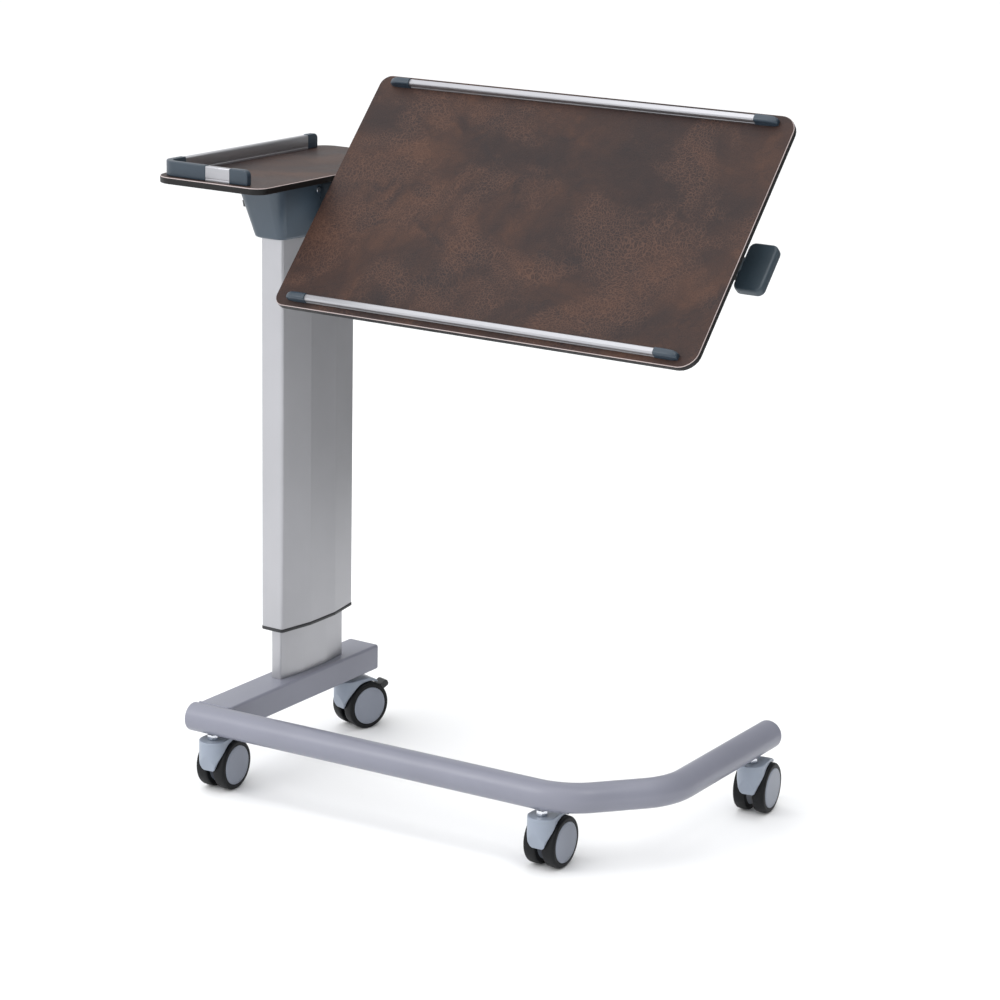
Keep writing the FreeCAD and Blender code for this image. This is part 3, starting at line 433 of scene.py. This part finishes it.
def bridge(bm, lower, upper, material=0):
    count = len(lower)
    for index in range(count):
        following = (index + 1) % count
        face = bm.faces.new((lower[index], lower[following], upper[following], upper[index]))
        face.material_index = material


def stack(name, layers, materials=None, closed=True, sharp=30):
    """Skin outlines (outline, level) one above another, and close the ends."""
    bm = bmesh.new()
    rings = [ring_points(bm, outline, level) for outline, level in layers]
    materials = materials or [0] * (len(rings) + 1)
    for index in range(len(rings) - 1):
        bridge(bm, rings[index], rings[index + 1], materials[index + 1])
    if closed:
        bm.faces.new(list(reversed(rings[0]))).material_index = materials[0]
        bm.faces.new(rings[-1]).material_index = materials[-1]
    else:
        bridge(bm, rings[-1], rings[0], materials[-1])
    return finished_mesh(bm, name, sharp)


def lathe(name, profile, steps=96):
    """Turn a profile of (x, radius) about the X axis."""
    bm = bmesh.new()
    rings = []
    for x, radius in profile:
        if radius == 0:
            rings.append([bm.verts.new(Vector((x, 0, 0)) * MM)])
            continue
        turns = [2 * math.pi * step / steps for step in range(steps)]
        spokes = [Vector((x, radius * math.cos(turn), radius * math.sin(turn))) for turn in turns]
        rings.append([bm.verts.new(spoke * MM) for spoke in spokes])
    for first, second in zip(rings, rings[1:] + rings[:1]):
        if len(first) == 1 and len(second) == 1:
            continue
        for index in range(steps):
            following = (index + 1) % steps
            if len(first) == 1:
                bm.faces.new((first[0], second[following], second[index]))
            elif len(second) == 1:
                bm.faces.new((first[index], first[following], second[0]))
            else:
                bm.faces.new((first[index], first[following], second[following], second[index]))
    return finished_mesh(bm, name)


def applied(mesh, name, add_modifiers, sharp=30):
    """Run modifiers on a mesh and keep only their result."""
    carrier = bpy.data.objects.new(name + "_carrier", mesh)
    bpy.context.scene.collection.objects.link(carrier)
    add_modifiers(carrier)
    bpy.context.view_layer.update()
    result = bpy.data.meshes.new_from_object(carrier.evaluated_get(bpy.context.evaluated_depsgraph_get()))
    result.name = name
    bpy.data.objects.remove(carrier)
    result.shade_smooth()
    result.set_sharp_from_angle(angle=math.radians(sharp))
    return result


def bevel(width, segments=3, angle=35):
    def add(carrier):
        modifier = carrier.modifiers.new("bevel", "BEVEL")
        modifier.width = width * MM
        modifier.segments = segments
        modifier.limit_method = "ANGLE"
        modifier.angle_limit = math.radians(angle)
    return add


def moulded(voxel, passes):
    """Round every edge a little, as a mould does."""
    def add(carrier):
        remesh = carrier.modifiers.new("remesh", "REMESH")
        remesh.mode = "VOXEL"
        remesh.voxel_size = voxel * MM
        smooth = carrier.modifiers.new("smooth", "SMOOTH")
        smooth.iterations = passes
        smooth.factor = 0.5
    return add


def node_mesh(node, place):
    """A clean copy of a CAD node's mesh in its own frame, with flat faces whole again."""
    bm = bmesh.new()
    bm.from_mesh(frame["nodes"][node].data)
    bmesh.ops.transform(bm, matrix=place.inverted(), verts=bm.verts)
    bmesh.ops.remove_doubles(bm, verts=bm.verts, dist=0.002 * MM)
    bmesh.ops.dissolve_limit(bm, angle_limit=math.radians(0.8), verts=bm.verts, edges=bm.edges)
    mesh = bpy.data.meshes.new(node)
    bm.to_mesh(mesh)
    bm.free()
    if "custom_normal" in mesh.attributes:
        mesh.attributes.remove(mesh.attributes["custom_normal"])
    mesh.materials.clear()
    return mesh


def softened(node, body, material, place=COLUMN, width=0.5, segments=2):
    """A CAD node with its edges broken."""
    mesh = applied(node_mesh(node, place), node + "_finished", bevel(width, segments))
    return add_piece(node + "_finished", mesh, body, [material], place, (node,))


# ---- boards and rails ----


def board(name, body, place, span, radii, level, top_material, stands_for):
    """A laminate board: top sheet, pale bevelled core line, black edge, plain underside."""
    thickness = BOARD_THICK
    pale = 1.3  # height of the pale core line
    layers = [(rectangle(*span, radii, 1.2), level - thickness)]
    for inset, height in ((0.35, 0.35), (0, 1.2), (0, thickness - pale - 0.5), (0.15, thickness - pale)):
        layers.append((rectangle(*span, radii, inset), level - thickness + height))
    layers.append((rectangle(*span, radii, 0.9), level - 0.35))
    layers.append((rectangle(*span, radii, 1.5), level))
    mesh = stack(name, layers, [3, 1, 1, 1, 1, 2, 0, 0])
    materials = [top_material, EDGE_BLACK, EDGE_LINE, UNDERSIDE]
    add_piece(name, mesh, body, materials, place, stands_for)


def main_top():
    span = (TOP_LEFT, TOP_LEFT + TOP_WIDTH, TOP_FRONT, TOP_FRONT + TOP_DEPTH)
    radii = (17, 26, 26, 17)
    board("main_top_board", "top", TOP, span, radii, TOP_LEVEL, TOP_HIDE, ("main_top",))


def side_tray():
    radii = (32, 20, 20, 32)
    name = "side_tray_board"
    board(name, "lift", COLUMN, TRAY_SPAN, radii, TRAY_LEVEL, TRAY_HIDE, ("side_tray",))


def rail_profile(width, height, crown, lip=2.2):
    """An extruded edge rail: foot, shadow grooves and a crowned top. Across, then up."""
    half = width / 2
    groove = half - 0.45
    right = [(half, 0), (half, lip), (groove, lip + 0.3), (groove, lip + 0.8), (half, lip + 1.1)]
    right += arc((half - crown, height - crown), crown, 0, 60, 8)
    left = [(-x, z) for x, z in reversed(right)]
    return right + left


def extrusion(name, profile, start, end):
    """A profile (across, up) drawn along X from start to end."""
    bm = bmesh.new()
    near = [bm.verts.new(Vector((start, across, up)) * MM) for across, up in profile]
    far = [bm.verts.new(Vector((end, across, up)) * MM) for across, up in profile]
    bridge(bm, near, far)
    bm.faces.new(near)
    bm.faces.new(list(reversed(far)))
    mesh = finished_mesh(bm, name)
    return applied(mesh, name, bevel(0.25, 2, 50), 28)


def end_cap(name, length, width, height, nose):
    """A plastic rail end: it sleeves over the rail and slopes down to a rounded nose. Nose at +X."""
    bm = bmesh.new()
    profile = ((0, 1.0), (0.06, 1.0), (0.42, 1.0), (0.62, 0.97), (0.8, 0.86), (0.93, 0.66), (1, 0.40))
    rings = []
    for share, rise in profile:
        x = length * share
        half = width / 2 * (1 - 0.32 * max(0, (x / length - 0.72) / 0.28) ** 2)
        top = height * (1 - (1 - rise) * nose)
        outline = rounded([(-half, 0, 0.4), (half, 0, 0.4), (half, top, min(3.4, top * 0.4)),
                           (-half, top, min(3.4, top * 0.4))], 6)
        rings.append([bm.verts.new(Vector((x, across, up)) * MM) for across, up in outline])
    for first, second in zip(rings, rings[1:]):
        bridge(bm, first, second)
    bm.faces.new(rings[0])
    bm.faces.new(list(reversed(rings[-1])))
    mesh = finished_mesh(bm, name, 60)
    return applied(mesh, name, bevel(0.8, 3, 55), 45)


def main_rails():
    """Front and rear rail of the main top, each with two plastic ends."""
    start = TOP_LEFT + RAIL_START
    end = start + RAIL_RUN
    rear = TOP_FRONT + TOP_DEPTH - RAIL_INSET - RAIL_THICK
    for label, front in (("front", TOP_FRONT + RAIL_INSET), ("rear", rear)):
        place = TOP @ Matrix.Translation(Vector((0, front + RAIL_THICK / 2, TOP_LEVEL)) * MM)
        mesh = extrusion(label + "_rail_extrusion", rail_profile(9.6, 11.6, 4.2), start, end)
        add_piece(label + "_rail_extrusion", mesh, "top", [RAIL_ALU], place, (label + "_rail",))
        for side, at, turn in (("left", start, math.pi), ("right", end, 0)):
            name = "%s_rail_end_%s" % (label, side)
            nose = place @ Matrix.Translation(Vector((at, 0, 0)) * MM) @ Matrix.Rotation(turn, 4, "Z")
            cap = end_cap(name, CAP_LENGTH, 11, 12.4, 0.75)
            add_piece(name, cap, "top", [RAIL_PLASTIC], nose, ("main_rail_end_caps",))


def tray_rails():
    """Rails on two sides of the side tray, joined by a rounded corner piece."""
    left = TRAY_SPAN[0] + RAIL_INSET + RAIL_THICK / 2
    front = TRAY_SPAN[2] + RAIL_INSET + RAIL_THICK / 2
    quarter = Matrix.Rotation(math.pi / 2, 4, "Z")
    long_place = COLUMN @ Matrix.Translation(Vector((left, 0, TRAY_LEVEL)) * MM) @ quarter
    mesh = extrusion("tray_long_extrusion", rail_profile(9.4, 21.4, 3.2, 3), -148, 144)
    add_piece("tray_long_extrusion", mesh, "lift", [RAIL_ALU], long_place, ("tray_rail_long",))
    short_place = COLUMN @ Matrix.Translation(Vector((0, front, TRAY_LEVEL)) * MM)
    mesh = extrusion("tray_short_extrusion", rail_profile(9.4, 21.4, 2.2, 3), -35.5, 7.5)
    add_piece("tray_short_extrusion", mesh, "lift", [RAIL_ALU], short_place, ("tray_rail_short",))
    for node in ("tray_rail_corner", "tray_rail_end_caps"):
        mesh = applied(node_mesh(node, COLUMN), node + "_moulded", bevel(1.6, 4, 40), 40)
        add_piece(node + "_moulded", mesh, "lift", [RAIL_PLASTIC], COLUMN, (node,))


# ---- base and column ----


def tube_path():
    """Centreline of the base tube about the column, in millimetres: runs joined by two bends."""
    stem = Vector((*STEM, TUBE_LEVEL))
    angles = [math.radians(angle) for angle in (FRONT_ANGLE, DIAGONAL_ANGLE, 90)]
    ways = [Vector((math.cos(angle), math.sin(angle), 0)) for angle in angles]
    first = stem + ways[0] * FRONT_RUN
    second = first + ways[1] * DIAGONAL_RUN
    points = [stem - ways[0] * OVERHANG]
    for corner, before, after in ((first, ways[0], ways[1]), (second, ways[1], ways[2])):
        half = before.angle(after) / 2
        start = corner - before * BEND_RADIUS * math.tan(half)
        side = Vector((-before.y, before.x, 0))
        centre = start + side * BEND_RADIUS
        steps = 20
        for step in range(steps + 1):
            turn = Matrix.Rotation(2 * half * step / steps, 3, "Z")
            points.append(centre - turn @ (side * BEND_RADIUS))
    points.append(second + ways[2] * ARM_RUN)
    return points


def tube_mesh(name, points, radius):
    """A round skin along a path of points that lies level."""
    around = 72
    bm = bmesh.new()
    rings = []
    for index, point in enumerate(points):
        before = points[index - 1] if index else point
        after = points[index + 1] if index + 1 < len(points) else point
        way = (after - before).normalized()
        side = Vector((way.y, -way.x, 0)).normalized()
        up = side.cross(way)
        ring = []
        for step in range(around):
            turn = 2 * math.pi * step / around
            spoke = side * math.cos(turn) + up * math.sin(turn)
            ring.append(bm.verts.new((point + spoke * radius) * MM))
        rings.append(ring)
    for first, second in zip(rings, rings[1:]):
        bridge(bm, first, second)
    bm.faces.new(rings[0])
    bm.faces.new(rings[-1])
    return finished_mesh(bm, name, 40)


def beam_section(inset, radius):
    """The base beam's outline across the beam and up, drawn in by an inset."""
    right = BEAM_HALF - inset
    low = BEAM_BOTTOM + inset
    high = BEAM_TOP - inset
    corners = ((-right, low), (right, low), (right, high), (-right, high))
    return rounded([(x, z, radius) for x, z in corners], 6)


def base():
    path = tube_path()
    mesh = tube_mesh("base_tube_bent", path, TUBE_RADIUS)
    add_piece("base_tube_bent", mesh, "base", [BASE_PAINT], COLUMN, ("base_tube",))
    cap = [(-4, 0), (-4, 18), (0, 18), (0, 21.0)] + [(x, r) for x, r in arc((0.2, 18.2), 2.8, 90, 12, 8)]
    cap += [(3.2, 12), (3.4, 5), (3.45, 0)]
    ends = (("left", path[0], math.radians(180 + FRONT_ANGLE)), ("arm", path[-1], math.radians(90)))
    for label, point, turn in ends:
        place = COLUMN @ Matrix.Translation(point * MM) @ Matrix.Rotation(turn, 4, "Z")
        mesh = lathe("tube_cap_" + label, cap)
        add_piece("tube_cap_" + label, mesh, "base", [BASE_PAINT], place, ("tube_end_caps",))
    section = beam_section(0, 4)
    along = Matrix.Rotation(math.pi / 2, 4, "X")
    mesh = stack("base_beam_welded", [(section, -145), (section, 232)])
    add_piece("base_beam_welded", mesh, "base", [BASE_PAINT], COLUMN @ along, ("base_beam",))
    inner = beam_section(0.4, 3.6)
    crown = beam_section(2, 3)
    layers = [(crown, -148), (inner, -147.2), (inner, -145.3), (crown, -145.0), (crown, -138)]
    cap = stack("beam_cap_moulded", layers)
    add_piece("beam_cap_moulded", cap, "base", [BASE_PAINT], COLUMN @ along, ("beam_end_cap",))
    weld_bead()
    softened("caster_stems", "base", ZINC, width=0.7, segments=3)
    softened("column_foot_bolts", "base", ZINC, width=0.6)
    softened("column_foot_plate", "base", STEEL)


def weld_bead():
    """A painted bead where the beam is coped onto the tube."""
    corner = rounded([(-28, 91.5, 4), (28, 91.5, 4), (28, 130.5, 4), (-28, 130.5, 4)], 4)
    ring = []
    count = len(corner)
    for index, (across, level) in enumerate(corner):
        following = corner[(index + 1) % count]
        steps = max(1, int(math.dist((across, level), following) / 2.5))
        for step in range(steps):
            share = step / steps
            x = across + (following[0] - across) * share
            z = level + (following[1] - level) * share
            reach = math.sqrt(max(TUBE_RADIUS ** 2 - (z - TUBE_LEVEL) ** 2, 0))
            ripple = 0.25 * math.sin(len(ring) * 2.1)
            tube_middle = STEM[1] + x * math.tan(math.radians(FRONT_ANGLE))
            ring.append(Vector((x, tube_middle + reach + 0.4 + ripple, z)))
    bm = bmesh.new()
    rings = []
    around = 10
    for index, point in enumerate(ring):
        way = (ring[(index + 1) % len(ring)] - ring[index - 1]).normalized()
        side = way.cross(Vector((0, 1, 0))).normalized()
        up = way.cross(side)
        turns = [2 * math.pi * step / around for step in range(around)]
        swell = 2.1 + 0.25 * math.sin(index * 2.1)
        spokes = [side * math.cos(turn) + up * math.sin(turn) for turn in turns]
        rings.append([bm.verts.new((point + spoke * swell) * MM) for spoke in spokes])
    for first, second in zip(rings, rings[1:] + rings[:1]):
        bridge(bm, first, second)
    mesh = finished_mesh(bm, "cope_weld", 60)
    add_piece("cope_weld", mesh, "base", [BASE_PAINT], COLUMN)


def column_section(name, sizes, wall, corner, low, high, body, node):
    """A length of hollow column section with eased ends."""
    half, long, bulge, ridge = sizes
    ease = 0.4

    def outline(inset):
        return facets(half - inset, long - inset, bulge, ridge, max(corner - inset, 0.6))

    layers = [
        (outline(ease), low),
        (outline(0), low + ease),
        (outline(0), high - ease),
        (outline(ease), high),
        (outline(wall), high),
        (outline(wall), low),
    ]
    mesh = stack(name, layers, closed=False, sharp=12)
    add_piece(name, mesh, body, [COLUMN_ALU], COLUMN, (node,))


def column():
    span = (OUTER_BOTTOM, OUTER_TOP)
    column_section("outer_column_profile", OUTER, 2.5, 5, *span, "lift", "outer_column")
    span = (BEAM_TOP, INNER_TOP)
    column_section("inner_column_profile", INNER, 2, 3, *span, "base", "inner_column")
    lip = facets(*OUTER, 5)
    bead = facets(OUTER[0] + 0.5, OUTER[1] + 0.5, *OUTER[2:], 5.5)
    bore = facets(INNER[0] + 0.4, INNER[1] + 0.4, *INNER[2:], 3)
    ease = 0.8
    layers = [
        (lip, WIPER_BOTTOM),
        (bead, WIPER_BOTTOM + ease),
        (bead, OUTER_BOTTOM - ease),
        (lip, OUTER_BOTTOM),
        (bore, OUTER_BOTTOM),
        (bore, WIPER_BOTTOM),
    ]
    mesh = stack("wiper_lip", layers, closed=False, sharp=40)
    add_piece("wiper_lip", mesh, "lift", [BLACK_PLASTIC], COLUMN, ("wiper_ring",))
    softened("upper_guide", "base", GUIDE_PLASTIC)
    softened("lower_guide", "lift", GUIDE_PLASTIC)
    softened("gas_spring_cylinder", "base", BLACK_PLASTIC, width=0.8)
    softened("gas_spring_rod", "lift", STEEL)


# ---- head ----


def hood_outline(share, inset=0):
    """The hood's outline at a share of its height, from the column's shape to a wide oblong."""
    half = 26 + 16 * share - inset
    long = 98 + 31 * share - inset
    bulge = 10 * (1 - 0.8 * share)
    return facets(half, long, bulge, 31, 12 + 10 * share, crease=16)


def head_hood():
    low = HOOD_LOW
    high = HOOD_HIGH
    rim = 4.5
    layers = []
    for turn in (0, 22.5, 45, 67.5, 90):
        angle = math.radians(turn)
        drop = rim * (1 - math.sin(angle))
        share = (rim - drop) / (high - low)
        layers.append((hood_outline(share, drop), low + rim * (1 - math.cos(angle))))
    for share in (0.2, 0.4, 0.6, 0.8, 0.97, 1.0):
        layers.append((hood_outline(share), low + (high - low) * share))
    for share in (1.0, 0.7, 0.4, 0.08):
        layers.append((hood_outline(share, 3.0), low + (high - low) * share))
    layers.append((hood_outline(0, 5.5), low))
    mesh = stack("head_hood_shell", layers, closed=False, sharp=60)
    opening = rectangle(-92, -76, 840, 878, (5,) * 4)
    slot = stack("lever_slot", [(opening, level) for level in (-75, -25)])
    slot.transform(Matrix(((0, 0, 1, 0), (1, 0, 0, 0), (0, 1, 0, 0), (0, 0, 0, 1))))
    cutter = bpy.data.objects.new("slot_cutter", slot)
    bpy.context.scene.collection.objects.link(cutter)

    def cut_slot(carrier):
        modifier = carrier.modifiers.new("slot", "BOOLEAN")
        modifier.operation = "DIFFERENCE"
        modifier.object = cutter
        modifier.solver = "EXACT"

    mesh = applied(mesh, "head_hood_shell", cut_slot, 40)
    bpy.data.objects.remove(cutter)
    add_piece("head_hood_shell", mesh, "lift", [HOOD_PLASTIC], COLUMN, ("head_hood",))
    # A block beside the hood where the tilt shaft passes. Its dark colour is partly painted shade of the
    # recess there.
    span = (30, 66, -26, 10)
    layers = []
    for inset, level in ((3.5, 815.5), (1, 816.5), (0, 819), (0, 883), (1, 885.5), (3, 886.5)):
        layers.append((rectangle(*span, (7,) * 4, inset), level))
    mesh = stack("tilt_block", layers, sharp=60)
    add_piece("tilt_block", mesh, "lift", [BLOCK_PLASTIC_WITH_PAINTED_SHADE], COLUMN)
    collar = [(62, 11.1), (62, 17), (66, 17)] + arc((66.4, 15.4), 1.6, 90, 0, 6) + [(68, 11.1)]
    place = COLUMN @ Matrix.Translation(Vector((0, *PIVOT)) * MM)
    add_piece("shaft_collar", lathe("shaft_collar", collar), "lift", [BLACK_PLASTIC], place)
    softened("head_bracket", "lift", STEEL, width=0.6)
    softened("hood_screws", "lift", ZINC, width=0.5)
    softened("tray_screws", "lift", ZINC, width=0.4)
    softened("tilt_shaft", "lift", STEEL, width=0.8)
    lever = applied(node_mesh("release_lever", COLUMN), "release_lever_moulded", bevel(1.4, 3), 40)
    stands_for = ("release_lever",)
    add_piece("release_lever_moulded", lever, "lever", [BLACK_PLASTIC], COLUMN, stands_for)


# ---- tilt parts under the main top ----


def tilt_parts():
    for node in ("tilt_bracket_left", "tilt_bracket_right"):
        softened(node, "top", BRACKET_PAINT, TOP, width=1.2, segments=3)
    softened("bracket_screws", "top", ZINC, TOP, width=0.4)
    layers = []
    span = (727.5, 771.5, -37.5, 37.5)
    half_thick = 8
    edge = 4.5
    for turn in range(0, 91, 15):
        angle = math.radians(turn)
        outline = rectangle(*span, (10,) * 4, edge * (1 - math.sin(angle)))
        layers.append((outline, edge * (1 - math.cos(angle)) - half_thick))
    layers += [(outline, -level) for outline, level in reversed(layers)]
    mesh = stack("knob_paddle", layers, sharp=60)
    add_piece("knob_paddle", mesh, "knob", [KNOB_PLASTIC], TOP, ("tilt_knob",))
    boss = [(705.5, 0), (705.5, 4), (722.8, 4), (722.8, 13), (724, 14.5), (727, 14.5), (731, 11), (731, 0)]
    add_piece("knob_boss", lathe("knob_boss", boss, 64), "knob", [KNOB_PLASTIC], TOP)


# ---- casters ----


def tyre_profile():
    profile = [(5.4, 29.2), (5.4, 33.0)] + arc((8.6, 34.0), 3.2, 180, 100, 7)
    profile += [(11, 37.35), (14.8, 37.5), (18.6, 37.35)] + arc((20.6, 33.3), 3.9, 82, 8, 9)
    return profile + [(24.3, 29.9), (22.8, 29.6), (22.8, 29.2)]


def hub_profile():
    profile = [(5.6, 4.1), (20, 4.1), (20, 0), (25.3, 0), (25.25, 12), (25.1, 21), (25.0, 25.2)]
    profile += [(24.75, 25.6), (24.75, 26.1), (25.0, 26.5), (24.95, 28.2)]
    profile += arc((23.95, 28.5), 1.0, 75, -10, 6)
    return profile + [(22.6, 29.1), (5.6, 29.1)]


def casters():
    for name in CASTERS:
        place = caster_frame(name)
        swivel = "swivel_" + name
        node = "caster_hood_" + name
        mesh = applied(node_mesh(node, place), node + "_moulded", moulded(0.8, 5), 180)
        add_piece(node + "_moulded", mesh, swivel, [CASTER_PLASTIC], place, (node,))
        softened("axle_" + name, swivel, STEEL, place, width=0.6)
        for side, turn in (("right", 0), ("left", math.pi)):
            wheel = "wheel_%s_%s" % (name, side)
            centre = Vector((0, CASTER_TRAIL, WHEEL_RADIUS)) * MM
            axle = place @ Matrix.Translation(centre) @ Matrix.Rotation(turn, 4, "Z")
            parts = (
                ("tyre", tyre_profile(), "tyre", RUBBER),
                ("hub", hub_profile(), "hub_plastic", HUB_PLASTIC),
            )
            for kind, profile, slot, material in parts:
                label = "%s_%s_%s" % (kind, name, side)
                mesh = lathe(label + "_moulded", profile)
                add_piece(label + "_moulded", mesh, wheel, [material], axle, (label,))
    for name in BRAKED:
        body = "brake_" + name
        node = "brake_pedal_" + name
        place = caster_frame(name)
        mesh = applied(node_mesh(node, place), node + "_moulded", bevel(1.2, 3), 40)
        add_piece(node + "_moulded", mesh, body, [BLACK_PLASTIC], place, (node,))


# ---- camera, floor and light ----


def camera():
    """The photograph's view: position in metres, then yaw, pitch and roll in degrees."""
    yaw, pitch, roll = (math.radians(angle) for angle in (-32.89, 15.32, -1.21))
    ahead = math.cos(pitch)
    forward = Vector((math.sin(yaw) * ahead, math.cos(yaw) * ahead, -math.sin(pitch)))
    level = Vector((math.cos(yaw), -math.sin(yaw), 0))
    down = forward.cross(level)
    right = level * math.cos(roll) + down * math.sin(roll)
    lower = down * math.cos(roll) - level * math.sin(roll)
    data = bpy.data.cameras.new("camera")
    data.sensor_width = 36
    data.lens = 103.6
    item = bpy.data.objects.new("camera", data)
    bpy.context.scene.collection.objects.link(item)
    turned = Matrix((right, -lower, -forward)).transposed().to_4x4()
    # the camera was found about the front left caster's stem
    stem = joint_point("swivel_fl")
    item.matrix_world = Matrix.Translation((stem.x + 2.5109, stem.y - 3.12, 1.5462)) @ turned
    bpy.context.scene.camera = item


def flag():
    """A grey card beside the set, seen only in reflections, that shades the column's wide side."""
    half = 1.5
    low = -0.4
    high = 1.5
    distance = 1.3
    bearing = math.radians(57)
    mesh = bpy.data.meshes.new("flag")
    corners = [(-half, 0, low), (half, 0, low), (half, 0, high), (-half, 0, high)]
    mesh.from_pydata(corners, [], [(0, 1, 2, 3)])
    mesh.materials.append(plain("flag_grey", (0.22, 0.22, 0.22), 0.9, wear=0))
    card = bpy.data.objects.new("flag", mesh)
    column = joint_point("height")
    away = Vector((math.cos(bearing), math.sin(bearing), 0))
    card.location = Vector((column.x, column.y, 0)) + away * distance
    card.rotation_euler = (0, 0, bearing + math.pi / 2)
    card.visible_camera = False
    card.visible_diffuse = False
    card.visible_shadow = False
    card.visible_transmission = False
    bpy.context.scene.collection.objects.link(card)


def area(name, where, aim, size, power, colour=(1, 1, 1)):
    data = bpy.data.lights.new(name, "AREA")
    data.shape = "RECTANGLE"
    data.size, data.size_y = size
    data.energy = power
    data.color = colour
    light = bpy.data.objects.new(name, data)
    light.location = where
    light.rotation_euler = (Vector(aim) - Vector(where)).to_track_quat("-Z", "Y").to_euler()
    bpy.context.scene.collection.objects.link(light)


def studio():
    mesh = bpy.data.meshes.new("floor")
    reach = 60
    corners = [(-reach, -reach, 0), (reach, -reach, 0), (reach, reach, 0), (-reach, reach, 0)]
    mesh.from_pydata(corners, [], [(0, 1, 2, 3)])
    mesh.materials.append(floor_material())
    floor = bpy.data.objects.new("floor", mesh)
    bpy.context.scene.collection.objects.link(floor)
    world = bpy.data.worlds.new("studio")
    world.use_nodes = True
    bpy.context.scene.world = world
    nodes = world.node_tree.nodes
    links = world.node_tree.links
    direction = nodes.new("ShaderNodeTexCoord").outputs["Generated"]
    dot = nodes.new("ShaderNodeVectorMath")
    dot.operation = "DOT_PRODUCT"
    dot.inputs[1].default_value = (-0.62, -0.62, 0.48)
    links.new(direction, dot.inputs[0])
    spread = nodes.new("ShaderNodeMapRange")
    spread.inputs["From Min"].default_value = -0.8
    spread.inputs["From Max"].default_value = 0.9
    spread.inputs["To Min"].default_value = 0.12
    spread.inputs["To Max"].default_value = 1.7
    links.new(dot.outputs["Value"], spread.inputs["Value"])
    background = nodes["Background"]
    background.inputs["Color"].default_value = (0.98, 0.99, 1.0, 1)
    links.new(spread.outputs["Result"], background.inputs["Strength"])
    flag()
    area("key", (-1.6, -3.2, 3.0), (0, 0, 0.6), (2.2, 2.2), 42)
    area("top", (0.2, 0.2, 4.2), (0, 0, 0), (3.5, 3.5), 40)
    area("sparkle", (2.06, -1.0, 3.3), (0, 0, 0.1), (0.5, 0.5), 12)
    bpy.context.scene.view_settings.view_transform = "Standard"


camera()
studio()
main_top()
side_tray()
main_rails()
tray_rails()
base()
column()
head_hood()
tilt_parts()
casters()
